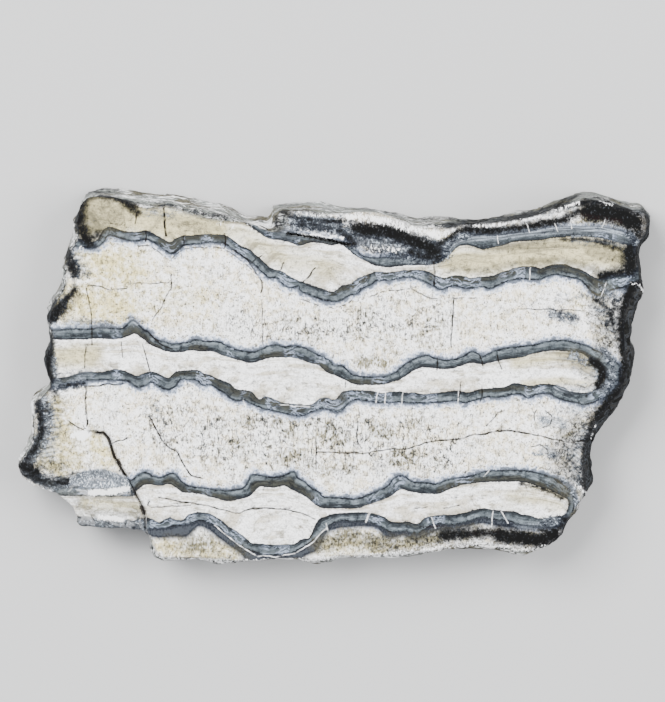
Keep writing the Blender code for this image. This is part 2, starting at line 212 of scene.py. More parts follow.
# Hairlines and cracks on the polish: half width, strength, then the points
hairlines = (
    (0.55, 1.0, (85, 386), (86.5, 392), (84.5, 400), (85.5, 408), (87, 423), (85.5, 429)),
    (0.5, 0.9, (84, 387), (105, 384.5), (117, 384.5), (126, 383)),
    (0.35, 0.7, (68, 421), (78, 428), (83, 430)),
    (0.35, 0.7, (112, 443.5), (127, 438)),
    (0.5, 0.95, (150, 418), (155, 428), (162, 441), (168.5, 448), (176.7, 451), (180, 459.4), (184.5, 467),
     (190, 475.6), (205, 480)),
    (0.4, 0.6, (89, 285), (97, 286.5), (103, 287), (110, 290), (127, 288.5)),
    (0.3, 0.4, (127, 283), (150, 283.5), (169, 283)),
    (0.4, 0.7, (171.5, 275), (171.5, 290)),
    (0.4, 0.7, (169.5, 291), (161, 308), (152.5, 320)),
    (0.35, 0.6, (86.5, 288), (91, 310), (92, 320), (92, 345)),
    (0.45, 0.75, (232, 248), (247, 259), (258, 276), (262, 281), (262.5, 288), (261, 293)),
    (0.3, 0.35, (262, 300), (263, 345)),
    (0.45, 0.75, (453.5, 300), (452.5, 320), (451, 340), (451, 350)),
    (0.35, 0.5, (517, 309), (552, 309.5), (580, 310.5)),
    (0.35, 0.5, (86, 347), (84, 370)),
    (0.35, 0.5, (121.5, 342), (122.5, 357)),
    (0.35, 0.5, (142.5, 344), (145.5, 355), (150, 372), (151, 378)),
    (0.4, 0.6, (345.5, 381), (345.5, 387)),
    (0.4, 0.6, (357, 418), (358.5, 425), (356, 435), (359, 445), (362, 449)),
    (0.35, 0.5, (366, 434), (366, 441)),
    (0.45, 0.7, (316, 452), (338, 453), (368, 453), (385, 450), (402, 449), (410, 449), (425, 443),
     (440, 440.5)),
    (0.55, 0.95, (440, 440.5), (455, 440), (475, 435), (487, 433.5), (505, 430.5), (518, 432), (530, 434)),
    (0.4, 0.6, (530, 434), (560, 440.5), (565, 442.5), (584, 441)),
    (0.35, 0.5, (344, 454.5), (368, 453), (372, 457)),
    (0.4, 0.6, (487, 426), (497, 414), (503, 411)),
    (0.4, 0.6, (316, 437), (316, 456), (316, 470)),
    (0.4, 0.7, (158, 498), (180, 502), (200, 505), (212, 507.5), (230, 513), (238, 513.5), (252, 509.5),
     (275, 509), (300, 513), (315, 520)),
    (0.3, 0.4, (150, 508), (170, 507), (190, 506)),
    (0.35, 0.5, (415, 509), (428, 507.5)),
    (0.35, 0.5, (444, 509), (460, 506)),
    (0.7, 1.0, (164.5, 205), (165, 222), (166.5, 236)),
    (0.5, 0.8, (137.5, 213), (136, 222), (134.5, 226)),
    (0.6, 0.9, (433.5, 262), (434.5, 273), (434, 285)),
    (0.5, 0.8, (315.5, 268), (309, 276), (303, 282)),
    (0.4, 0.6, (283.5, 263), (281, 270)),
    (0.4, 0.7, (147, 506), (149, 502)),
    (0.4, 0.8, (146.5, 230.5), (147, 236), (146, 242)), (0.4, 0.8, (225, 234), (226.5, 241), (225, 248)),
    (0.35, 0.7, (250, 264), (256, 259), (262, 256)), (0.35, 0.6, (184, 236), (184.5, 245)),
    (0.35, 0.7, (437.5, 358), (437, 370)), (0.35, 0.7, (479, 354), (482, 361), (483, 366)),
    (0.35, 0.7, (497, 352), (498, 360), (502, 369)), (0.35, 0.7, (461, 382), (460, 390), (459, 398)),
    (0.35, 0.6, (482, 386), (483, 394), (480, 402)),
    (0.3, 0.6, (535, 421), (534, 414), (537, 410)),
    (0.3, 0.7, (546, 411), (553, 417), (550, 425), (543, 428)),
    (0.3, 0.7, (532, 447), (541, 445), (548, 450), (549, 456)),
)

# Outlines that fade in and out round the halo of each plate: half width, strength, then the points
haloLines = (
    (0.4, 0.8, (136, 246), (150, 246), (158, 251), (166, 257)),
    (0.4, 0.8, (171, 260), (184, 249), (200, 247.5), (223, 248), (232, 254), (246, 264), (256, 274)),
    (0.4, 0.7, (300, 299), (318, 305), (334, 308), (346, 305), (352, 300)),
    (0.4, 0.7, (355, 302), (372, 296), (380, 292), (398, 290), (412, 289), (428, 298), (440, 298),
     (456, 298), (476, 298)),
    (0.4, 0.8, (150, 334), (160, 344), (172, 349), (180, 350)),
    (0.4, 0.6, (250, 508), (300, 510)),
)

# Dark drops and pits on the polish: x, y, radius
spots = (
    (494, 409.5, 1.2), (456, 321, 1.4), (270.5, 338, 1.2), (411, 287, 1.5), (224, 459, 2.2),
    (518, 411.5, 1.3),
    (85.5, 386.5, 1.6), (612, 260, 1.5), (614, 258, 1.2), (88.5, 219, 1.0), (115, 247, 0.8),
    (440, 288, 1.2),
    (587, 396, 2.0), (558, 446, 1.2), (483, 446, 1.0), (150, 409, 1.0), (196, 206, 1.2), (420, 420, 0.9),
)

# The open crack round the glued corner, and the gap under the block that has parted from the enamel
openings = {
    "crack": (
        (89, 432), (97, 432.5), (103, 433), (107, 436.5), (109.5, 442), (111.5, 449.5), (113.5, 457),
        (117, 462), (120, 467.5), (123.5, 474), (127, 479), (131, 486.5), (136, 498), (140.5, 506),
        (143.5, 514), (144, 521), (144, 528), (146, 538),
    ),
    "gap": ((288, 234.5), (297, 235.5), (308, 237), (320, 239), (332, 241.5), (341, 243.5), (349, 245.5)),
    "crackFill": (0.0007, 0.0014),
    "gapFill": (0.0008, 0.0042),
    "crackWidth": 2.9,
    "gapWidth": 3.4,
    "crackDrop": 0.00028,
    "gapDrop": 0.0012,
    "crackTightBelow": 478,
}

# White bars that cross the enamel, where cracks have healed
healedBars = (
    (0.8, 1.0, (371, 512), (368, 518), (366, 523)), (0.5, 0.9, (432, 518), (436, 529)),
    (0.5, 0.9, (494, 512), (492, 528)), (0.5, 0.9, (502, 512), (509, 524)),
    (0.5, 0.8, (326, 524), (328, 532)),
    (0.4, 0.7, (243, 400), (246, 408)), (0.5, 0.8, (378, 392), (376, 403)),
    (0.5, 0.8, (386, 392), (385, 404)),
    (0.5, 0.8, (403, 392), (402, 404)), (0.4, 0.8, (571, 229), (570, 222), (571, 216)),
    (0.4, 0.8, (557, 232), (554, 224)), (0.4, 0.8, (601, 228), (606, 217)),
    (0.4, 0.8, (529, 233), (526, 224)),
    (0.5, 0.8, (530, 268), (529, 280)), (0.5, 0.7, (606, 282), (601, 296)),
    (0.5, 0.8, (459, 388), (458, 403)),
    (0.45, 1.0, (214, 526), (222, 533), (236, 544), (247, 552), (257, 557), (275, 558), (293, 555),
     (303, 550),
     (314, 542), (322, 533), (327, 528)),
    (0.4, 0.7, (497, 236), (498, 244)), (0.4, 0.8, (484, 477), (490, 470)),
    (0.5, 0.8, (280, 405), (310, 407)),
)

# Stains, painted as soft strokes: radius, strength, then the points
stains = {
    "dark": (
        (8, 1.0, (82, 199), (80, 212), (81, 226), (86, 237), (90, 242)), (5, 0.8, (94, 238), (98, 234)),
        (6, 1.0, (86, 195), (100, 193), (116, 196), (126, 202), (134, 208)),
        (4, 0.8, (130, 206), (135, 211), (139, 214)),
        (6.5, 0.85, (68, 252), (71, 262), (75, 273)),
        (4, 0.9, (75, 288), (70, 296), (62, 306)), (7.5, 1.2, (60, 308), (52, 317)),
        (6, 1.1, (47, 338), (49, 346), (47, 356), (46, 368), (49, 378)),
        (4, 0.85, (37, 402), (39, 414), (41, 426), (39, 438), (33, 450), (26, 460)),
        (3, 0.8, (61, 257), (59, 270), (58, 284)), (4, 0.8, (450, 226), (480, 221), (520, 217), (548, 209)),
        (8, 1.0, (18, 468), (26, 468), (34, 472)),
        (4.5, 0.8, (24, 474), (40, 481), (52, 484), (66, 482)),
        (6, 0.6, (300, 225), (318, 226), (332, 228)),
        (5, 0.8, (340, 232), (348, 238), (354, 244)),
        (9, 1.1, (358, 229), (378, 230), (394, 233), (410, 239), (424, 245), (434, 251)),
        (5, 0.5, (366, 248), (384, 252), (402, 256)), (6, 0.8, (410, 252), (428, 258), (438, 258)),
        (5, 1.0, (466, 230), (490, 231), (520, 228), (548, 223), (566, 220)),
        (4, 0.85, (438, 246), (448, 238), (458, 232), (470, 228)),
        (5, 0.9, (566, 217), (582, 211), (600, 208)),
        (12, 1.3, (588, 212), (608, 213), (622, 217), (634, 223)),
        (4, 1.0, (556, 209), (574, 204), (592, 202), (612, 206), (632, 212)),
        (2.5, 0.8, (280, 212), (300, 219), (330, 222), (350, 220)),
        (10, 1.1, (628, 252), (631, 260), (629, 268)), (5, 1.0, (622, 271), (612, 273), (600, 275)),
        (4, 0.8, (598, 242), (610, 246), (620, 250)), (6, 1.0, (638, 226), (638, 236)),
        (2.2, 0.8, (560, 240), (580, 240), (600, 243)),
        (8, 1.2, (634, 286), (628, 298), (624, 310), (623, 325)),
        (8, 1.2, (623, 325), (624, 345), (627, 358), (627, 372), (624, 386)),
        (8, 1.1, (620, 392), (608, 404), (599, 414), (595, 426)),
        (7, 1.1, (594, 430), (588, 446), (588, 462), (588, 478), (589, 488)),
        (4, 1.3, (592, 361), (600, 366), (603, 376), (598, 385)),
        (10, 1.2, (500, 536), (520, 539), (538, 541), (556, 536)),
        (6, 1.0, (444, 537), (466, 535), (486, 534), (504, 536)),
        (5, 0.8, (566, 520), (562, 530), (556, 538)),
        (1.6, 0.9, (520, 484), (540, 488), (553, 493), (563, 499)),
        (2.2, 0.8, (596, 300), (604, 306), (612, 316), (606, 326)),
        (2.2, 0.8, (614, 300), (612, 320), (616, 336)),
        (4, 0.7, (48, 386), (56, 392)),
        (3, 0.7, (60, 386), (74, 384), (84, 383)),
        (4, 0.5, (30, 478), (44, 484)),
    ),
    "white": (
        (4.5, 1.1, (348, 218), (362, 218), (376, 220), (394, 224), (410, 229), (426, 233), (440, 237)),
        (2.5, 0.8, (440, 238), (448, 234), (452, 230)),
        (2.2, 1.0, (474, 226), (484, 226.5), (500, 225)), (1.9, 0.9, (500, 225), (520, 221), (540, 217)),
        (2.4, 0.9, (552, 213), (566, 207), (578, 203)),
        (1.6, 1.3, (302, 234.5), (318, 235.5), (326, 238), (334, 236.5), (343, 239)),
        (4, 0.7, (372, 248), (386, 249), (398, 250)),
        (2.5, 0.8, (600, 202), (612, 206)),
        (3, 0.6, (296, 214), (316, 215), (336, 216)),
        (3.5, 1.0, (66, 244), (62, 256), (61, 268), (60, 282), (54, 294), (48, 304), (44, 314)),
        (3, 0.9, (44, 320), (46, 334)),
        (3, 0.7, (42, 350), (42, 364), (46, 378)),
        (3.5, 1.0, (46, 384), (38, 392), (30, 400)),
        (3.0, 1.2, (31, 402), (30, 416), (30, 430), (27, 442), (20, 454), (15, 462)),
        (3, 0.9, (22, 480), (36, 488), (50, 494)),
        (3.4, 0.9, (152, 553), (164, 561), (200, 562), (230, 564), (260, 563), (300, 562), (350, 559),
         (400, 555), (440, 550)),
        (3, 0.9, (440, 549), (480, 544.5), (500, 547), (518, 551), (536, 551), (548, 548)),
        (3.4, 1.7, (90, 493), (104, 493), (118, 491), (127, 489)),
        (3, 1.6, (98, 518), (110, 519), (120, 521)),
        (3.6, 1.8, (73, 436), (80, 433.5), (88, 434), (80, 438)),
        (2.2, 0.9, (576, 486), (586, 492), (590, 500)),
        (1.8, 0.9, (630, 282), (640, 286), (644, 292)),
        (1.2, 0.6, (597, 424), (592, 436), (594, 446)),
        (2.4, 0.7, (66, 236), (70, 243), (82, 248)),
        (6, 0.5, (220, 222), (236, 226), (250, 228)),
    ),
    "navy": (
        (10, 1.0, (296, 222), (312, 222), (334, 226)), (6, 1.0, (338, 228), (348, 236), (356, 244)),
        (13, 1.1, (362, 236), (384, 242), (404, 248), (426, 252), (440, 250)),
        (6, 0.8, (440, 250), (456, 238), (470, 232)),
        (9, 1.0, (42, 402), (45, 416), (44, 430), (38, 444), (28, 460)),
        (8, 1.0, (24, 470), (44, 482), (62, 484)),
        (5, 1.0, (50, 344), (52, 360), (54, 378)), (8, 0.6, (70, 252), (73, 264), (76, 274)),
        (6, 1.0, (74, 526), (100, 525), (140, 527)), (4, 0.7, (56, 388), (74, 386), (84, 385)),
        (5, 0.8, (66, 298), (60, 310), (54, 320)), (5, 0.8, (630, 250), (634, 262), (632, 274)),
        (6, 0.9, (630, 236), (636, 246)),
        (5, 0.7, (604, 350), (612, 364), (614, 380), (606, 392)),
        (5, 0.6, (572, 356), (592, 364), (602, 374)),
        (4, 0.7, (564, 480), (574, 490), (578, 504)), (4, 0.7, (66, 236), (70, 244)),
        (7, 0.6, (596, 426), (590, 446)),
        (6, 0.9, (546, 524), (566, 520)), (4, 0.4, (544, 452), (552, 457)),
        (6, 0.6, (552, 314), (574, 318)), (5, 0.6, (600, 288), (612, 296), (618, 300)),
    ),
    "frost": (
        (5, 0.9, (73, 481), (84, 476), (98, 474), (112, 477), (124, 483)), (4, 0.8, (80, 484), (116, 486)),
        (7, 0.36, (541, 419), (547, 420)), (6, 0.36, (535, 453), (542, 452)),
    ),
    "yellow": (
        (26, 1.0, (66, 300), (90, 305), (122, 308)), (28, 0.9, (92, 262), (130, 270)),
        (9, 0.9, (84, 231), (98, 227), (124, 227)), (9, 0.7, (516, 363), (560, 356), (592, 362)),
        (6, 0.7, (524, 383), (560, 381), (588, 384)), (9, 0.5, (530, 484), (566, 492)),
        (30, 0.5, (150, 300), (180, 296), (200, 300)), (18, 0.9, (52, 410), (62, 440), (70, 460)),
        (14, 0.9, (44, 440), (44, 460), (60, 468)),
        (14, 0.8, (94, 440), (104, 462)), (22, 1.0, (90, 210), (130, 216), (170, 224), (214, 230)),
        (18, 0.6, (214, 230), (240, 232), (290, 262), (330, 268)),
        (18, 0.85, (450, 262), (480, 262), (520, 256)),
        (18, 1.0, (520, 256), (560, 250), (612, 256)), (15, 0.8, (54, 358), (92, 355)),
        (9, 0.55, (510, 496), (545, 502), (560, 508)), (12, 0.45, (580, 302), (600, 290)),
        (14, 0.75, (158, 546), (190, 548), (232, 554)), (12, 0.8, (318, 546), (350, 544), (384, 546)),
        (10, 0.7, (400, 544), (430, 542)), (8, 0.5, (580, 360), (590, 385)),
        (12, 0.3, (540, 430), (570, 432)),
        (8, 0.8, (84, 504), (110, 506), (134, 508)), (5, 0.8, (438, 240), (446, 240)),
        (6, 0.8, (512, 540), (526, 536), (540, 536)), (7, 0.6, (580, 224), (600, 222)),
    ),
    "olive": (
        (5, 1.0, (100, 230), (108, 225), (120, 228), (142, 233)),
        (7, 1.0, (163, 243), (172, 250), (182, 240)),
        (4.5, 0.8, (186, 238), (210, 237), (226, 239)), (4, 0.7, (330, 294), (345, 288)),
        (4.5, 1.0, (348, 287), (358, 281), (366, 277)), (4, 0.7, (376, 274), (410, 271)),
        (5, 1.0, (432, 277), (450, 278), (466, 277)), (5, 0.9, (470, 280), (500, 275), (520, 269)),
        (5, 0.8, (540, 272), (570, 270), (596, 282)), (4, 0.7, (80, 342), (106, 344)),
        (7, 1.0, (128, 334), (136, 330), (146, 336)), (5, 0.9, (148, 344), (158, 349)),
        (5, 0.9, (192, 348), (204, 348)), (4.5, 0.7, (262, 356), (292, 353)),
        (6, 1.0, (318, 366), (328, 372)),
        (4, 0.9, (345, 382), (380, 382)), (6, 1.0, (244, 394), (256, 398), (268, 395), (284, 400)),
        (7, 1.0, (308, 404), (322, 398), (334, 404), (344, 396)),
        (4, 0.8, (480, 391), (510, 388), (530, 390)),
        (4, 0.7, (170, 375), (186, 374), (204, 376)),
        (6, 0.9, (206, 379), (234, 393), (270, 402), (300, 410)),
        (5, 0.9, (138, 486), (150, 482)), (7, 1.1, (168, 481), (180, 489)),
        (5, 0.8, (186, 492), (232, 499)),
        (7, 1.0, (255, 487), (272, 484), (290, 482)), (5, 0.8, (296, 486), (312, 497)),
        (4.5, 0.9, (440, 490), (470, 481), (520, 479)), (4.5, 0.8, (520, 480), (556, 492)),
        (4, 0.6, (356, 392), (380, 393)), (5, 0.6, (580, 288), (604, 285)),
        (4, 0.8, (300, 243), (330, 244)),
        (5, 0.5, (400, 520), (416, 526)), (3, 0.7, (376, 246), (382, 250)), (5, 0.7, (60, 382), (80, 381)),
    ),
    "tan": (
        (7, 0.9, (207, 430), (208, 431)), (8, 0.8, (234, 444), (242, 446)),
        (5, 0.6, (223, 425), (226, 426)),
        (9, 0.9, (282, 458), (298, 454)), (8, 0.8, (276, 424), (292, 430)),
        (11, 1.0, (326, 436), (340, 438)),
        (8, 0.8, (322, 424), (332, 430)), (9, 0.9, (376, 431), (388, 434)),
        (11, 0.9, (396, 459), (412, 458)),
        (8, 0.6, (412, 424), (420, 421)), (7, 0.9, (362, 362), (386, 363)),
        (9, 0.5, (306, 332), (318, 336)),
        (9, 0.5, (360, 314), (372, 318)), (9, 0.6, (430, 325), (440, 327)),
        (9, 0.5, (380, 344), (392, 348)),
        (10, 0.5, (340, 464), (352, 470)), (8, 0.6, (300, 466), (330, 470)),
        (9, 0.5, (240, 420), (262, 424)),
        (9, 0.5, (420, 338), (436, 344)), (9, 0.5, (350, 330), (362, 336)),
        (9, 0.4, (280, 318), (296, 322)),
        (10, 0.8, (190, 544), (210, 544)), (8, 0.7, (336, 536), (356, 534)),
        (10, 0.9, (424, 540), (446, 534)),
        (8, 0.7, (370, 540), (392, 546)), (7, 0.5, (430, 455), (440, 465)),
        (6, 0.5, (300, 420), (312, 424)),
    ),
    "blue": (
        (16, 0.8, (588, 436), (574, 458), (580, 478)), (9, 0.9, (545, 421), (562, 423)),
        (8, 0.85, (544, 450), (556, 456)), (9, 0.9, (552, 313), (574, 319)),
        (10, 0.6, (560, 300), (580, 296)),
        (14, 0.7, (600, 310), (612, 328)), (9, 0.8, (74, 262), (86, 272)), (7, 0.8, (68, 322), (110, 324)),
        (13, 0.9, (46, 408), (50, 430), (46, 452)), (7, 0.7, (56, 388), (82, 383)),
        (11, 1.0, (72, 480), (96, 476), (120, 482)), (6, 0.8, (48, 350), (56, 374)),
        (6, 0.8, (558, 388), (600, 388)), (5, 0.55, (556, 360), (568, 358), (582, 361)),
        (4.5, 0.6, (560, 383), (578, 385)), (5, 0.7, (575, 370), (600, 378)),
        (5, 0.8, (572, 239), (620, 244)),
        (7, 1.0, (442, 250), (460, 238), (500, 234), (560, 228), (620, 231)),
        (14, 1.0, (284, 226), (310, 224), (340, 232)), (16, 1.0, (350, 232), (390, 238), (430, 250)),
        (10, 0.8, (300, 222), (340, 226)),
        (6, 0.7, (452, 224), (500, 222), (552, 214)), (7, 0.8, (560, 208), (600, 204), (640, 214)),
        (5, 0.6, (96, 244), (92, 252)), (8, 0.6, (560, 410), (590, 412)), (9, 0.6, (46, 316), (54, 330)),
        (8, 0.6, (630, 290), (616, 300)), (6, 0.8, (130, 316), (136, 322)), (10, 0.7, (36, 478), (60, 484)),
        (8, 0.6, (560, 520), (520, 530)), (5, 0.6, (168, 206), (186, 214), (196, 214)),
        (5, 0.7, (90, 372), (60, 374)), (4, 0.6, (620, 240), (636, 250)), (9, 0.7, (74, 526), (140, 528)),
        (6, 0.6, (146, 212), (160, 215), (174, 216)), (12, 0.5, (150, 400), (160, 420)),
    ),
    "shade": (
        (15, 0.95, (604, 296), (606, 320), (606, 344)), (10, 0.9, (572, 356), (596, 366), (598, 384)),
        (12, 0.7, (74, 256), (79, 272)), (12, 0.8, (40, 462), (60, 467)),
        (12, 0.7, (52, 396), (58, 410)), (9, 0.8, (76, 294), (66, 310)),
        (7, 0.6, (560, 358), (584, 360)),
        (15, 1.1, (82, 204), (86, 216), (94, 229)), (34, 0.75, (96, 212), (104, 214)),
        (9, 0.6, (130, 208), (180, 222), (206, 228)),
        (14, 0.5, (190, 226), (216, 230)), (10, 0.8, (590, 250), (612, 258), (622, 262)),
        (5, 0.9, (520, 263), (560, 260), (596, 270)), (6, 0.7, (452, 268), (480, 272), (520, 262)),
        (5, 0.7, (500, 250), (560, 244), (600, 246)), (22, 0.45, (50, 420), (66, 446), (70, 462)),
        (16, 0.8, (596, 300), (608, 330)), (24, 0.95, (580, 430), (566, 456), (576, 482)),
        (14, 0.55, (170, 546), (240, 556)), (12, 0.9, (320, 546), (352, 540), (384, 546), (420, 546)),
        (10, 1.0, (400, 546), (444, 538), (480, 534)), (7, 0.5, (540, 486), (566, 504)),
        (9, 0.4, (60, 352), (70, 362), (56, 366)), (6, 0.5, (580, 362), (598, 380)),
        (10, 0.6, (74, 504), (90, 512), (140, 512)), (7, 0.5, (64, 292), (60, 312)),
    ),
    "coarse": (
        (34, 1.0, (170, 425), (230, 440), (300, 440), (400, 442), (440, 450)),
        (20, 0.8, (240, 320), (270, 330), (330, 328), (400, 320), (440, 322)),
        (16, 0.5, (380, 300), (430, 310)), (14, 0.7, (590, 310), (612, 330)),
        (16, 0.7, (560, 445), (580, 470)), (12, 0.5, (60, 420), (70, 450)),
    ),
    "sootySide": (
        (14, 1.0, (646, 214), (646, 240), (644, 268), (640, 300), (634, 330), (636, 368), (632, 392),
         (622, 410), (612, 424), (602, 440), (600, 470), (598, 490)),
        (9, 0.45, (284, 206), (320, 206), (350, 206)),
        (9, 0.6, (356, 206), (400, 212), (440, 222), (500, 216)),
        (9, 0.65, (500, 216), (550, 208), (580, 196), (640, 202)), (8, 0.8, (576, 520), (560, 540)),
        (9, 0.5, (60, 250), (56, 290), (44, 312)), (10, 0.9, (42, 338), (40, 356), (42, 376)),
        (6, 0.7, (56, 262), (52, 290)), (9, 0.7, (20, 478), (40, 494)),
        (6, 0.5, (80, 190), (120, 190)), (4, 0.4, (150, 203), (200, 214), (240, 217)),
    ),
    "brown": (
        (2.2, 1.0, (97, 432.5), (103.5, 433.5), (108, 439), (111, 449), (114, 458)),
        (3.2, 1.0, (117, 461), (119, 465)), (2.0, 1.0, (119, 467), (124, 475)),
        (2.4, 1.0, (103.5, 433.5), (104, 434)),
        (3.6, 1.0, (141, 508), (143, 513)), (1.5, 0.7, (128, 480), (134, 492), (139, 503)),
        (2.6, 0.6, (108, 224), (120, 224), (130, 228)), (6, 0.6, (580, 216), (620, 222)),
        (1.5, 0.8, (410, 286), (418, 288)), (5, 0.5, (470, 534), (500, 532)),
        (2.2, 0.7, (422, 528), (444, 527)), (2, 0.6, (520, 485), (545, 492)),
    ),
}

# The chipped ledges of the glued corner, which aren't crust although they lie below the face
chippedCorner = ((10, 468), (94, 466), (130, 478), (150, 540), (60, 545), (10, 500))


def toSlice(x, y, z):
    return Vector(((x - grid["centreX"]) * grid["column"], (grid["centreY"] - y) * grid["row"], z))


def only(obj):
    bpy.ops.object.select_all(action="DESELECT")
    obj.select_set(True)
    bpy.context.view_layer.objects.active = obj


def verticesOf(obj):
    co = np.zeros(len(obj.data.vertices) * 3, np.float32)
    obj.data.vertices.foreach_get("co", co)
    return co.reshape(-1, 3).astype(float)


def normalsOf(obj):
    no = np.zeros(len(obj.data.vertices) * 3, np.float32)
    obj.data.vertex_normals.foreach_get("vector", no)
    return no.reshape(-1, 3).astype(float)


def gridOf(points):
    # the growth lines lean as they go down through the slice
    sunk = (faceHeight - points[:, 2]) * grid["lean"]
    x = points[:, 0] / grid["column"] + grid["centreX"]
    y = grid["centreY"] - (points[:, 1] + sunk) / grid["row"]
    return x, y


def routeDistance(x, y, route, closed=False):
    # distance to a traced line, and how far along it the nearest point is
    points = list(route) + ([route[0]] if closed else [])
    best = np.full(len(x), 1e9)
    along = np.zeros(len(x))
    travelled = 0.0
    for (ax, ay), (bx, by) in zip(points, points[1:]):
        dx, dy = bx - ax, by - ay
        length = math.hypot(dx, dy) or 1e-9
        t = np.clip(((x - ax) * dx + (y - ay) * dy) / length**2, 0, 1)
        d = np.hypot(x - ax - t * dx, y - ay - t * dy)
        nearer = d < best
        best = np.where(nearer, d, best)
        along = np.where(nearer, travelled + t * length, along)
        travelled += length
    return best, along


def insideRoute(x, y, route):
    inside = np.zeros(len(x), bool)
    for (ax, ay), (bx, by) in zip(route, route[1:] + route[:1]):
        if ay == by:
            continue
        crosses = (ay > y) != (by > y)
        inside ^= crosses & (x < (bx - ax) * (y - ay) / (by - ay) + ax)
    return inside


def rounded(route, times):
    # cuts the corners of a closed line
    points = np.array(route, float)
    for _ in range(times):
        following = np.roll(points, -1, axis=0)
        cuts = np.stack([points * 0.75 + following * 0.25, points * 0.25 + following * 0.75], axis=1)
        points = cuts.reshape(-1, 2)
    return [tuple(point) for point in points]


def signedDistance(x, y, route):
    route = rounded(route, 2)
    d, along = routeDistance(x, y, route, closed=True)
    return np.where(insideRoute(x, y, route), -d, d), along


def softStroke(x, y, radius, strength, points):
    d, _ = routeDistance(x, y, points if len(points) > 1 else points * 2)
    share = np.clip(1.6 - d / radius, 0, 1.6) / 1.6
    return strength * share * share * (3 - 2 * share)


def strokesField(x, y, strokes):
    field = np.zeros(len(x))
    for radius, strength, *points in strokes:
        field = np.maximum(field, softStroke(x, y, radius, strength, points))
    return field


def setField(obj, name, values):
    attribute = obj.data.attributes.new(name, "FLOAT", "POINT")
    attribute.data.foreach_set("value", np.asarray(values, np.float32))


def wavy(points, size=0.5):
    # the same route with the small unevenness of growth lines and cracks
    points = np.array(points, float)
    along = np.concatenate([[0], np.cumsum(np.hypot(*np.diff(points, axis=0).T))])
    places = np.linspace(0, along[-1], int(along[-1] / 3) + 2)
    x = np.interp(places, along, points[:, 0])
    y = np.interp(places, along, points[:, 1])
    sway = np.sin(places * 0.83 + x[0]) * 0.6 + np.sin(places * 0.31 + y[0]) + np.sin(places * 1.9) * 0.4
    sway *= size * np.sin(np.pi * places / along[-1]) ** 0.5
    return list(zip(x + sway * 0.6, y + sway))


def setLines(obj, name, x, y, lines):
    # the step to the nearest line and its half width: a step keeps a thin line sharp between the points
    far = np.full(len(x), 9.0)
    step = np.tile((9.0, 9.0, 0.0), (len(x), 1))
    for half, strength, *points in lines:
        points = wavy(points)
        for (ax, ay), (bx, by) in zip(points, points[1:]):
            dx, dy = bx - ax, by - ay
            t = np.clip(((x - ax) * dx + (y - ay) * dy) / (dx * dx + dy * dy), 0, 1)
            stepX, stepY = x - ax - t * dx, y - ay - t * dy
            d = np.hypot(stepX, stepY)
            nearer = d < far
            far = np.where(nearer, d, far)
            step[nearer] = np.stack([stepX, stepY, np.full(len(x), half * strength)], axis=1)[nearer]
    setField(obj, name + "Far", far)
    attribute = obj.data.attributes.new(name, "FLOAT_VECTOR", "POINT")
    attribute.data.foreach_set("vector", step.astype(np.float32).ravel())


def selectVertices(obj, mask):
    only(obj)
    bpy.ops.object.mode_set(mode="EDIT")
    bpy.ops.mesh.select_mode(type="VERT")
    bpy.ops.mesh.select_all(action="DESELECT")
    bpy.ops.object.mode_set(mode="OBJECT")
    obj.data.vertices.foreach_set("select", np.asarray(mask, bool))
    bpy.ops.object.mode_set(mode="EDIT")


def applyModifier(obj, modifier):
    only(obj)
    bpy.ops.object.modifier_apply(modifier=modifier.name)


def fillBlocks(route, size):
    # plain blocks that close the groove along a route, so that it can be pressed in afresh and finer
    width, depth = size
    blocks = []
    for start, end in zip(route, route[1:]):
        a, b = toSlice(*start, 0), toSlice(*end, 0)
        middle = (a + b) / 2
        bpy.ops.object.select_all(action="DESELECT")
        bpy.ops.mesh.primitive_cube_add(
            size=1,
            location=(middle.x, middle.y, faceHeight - depth / 2),
            rotation=(0, 0, math.atan2(b.y - a.y, b.x - a.x)),
            scale=((b - a).length + width * 0.4, width, depth),
        )
        bpy.ops.object.transform_apply(location=True, rotation=True, scale=True)
        blocks.append(bpy.context.object)
    return blocks


# Lengths are in metres, and a depth is measured down from the polished face
skin = {
    "weld": 0.000004,
    "voxel": 0.00057,
    "flatDepth": 0.00022,
    "fineDepth": 0.0017,
    "grooveDepth": 0.0004,
    "pressDepth": 0.002,
    "grainSize": 0.0011,
    "grainHeight": 0.00044,
    "grainMiddle": 0.62,
    "grainFadeFace": 0.0008,
    "grainFadeBack": 0.0006,
    "sideFade": 0.00025,
    "sunkStart": 0.0001,
    "sunkFade": 0.0003,
    "hollowDepth": 0.0021,
    "wallDepth": 0.0016,
    "backHeight": 0.0004,
}


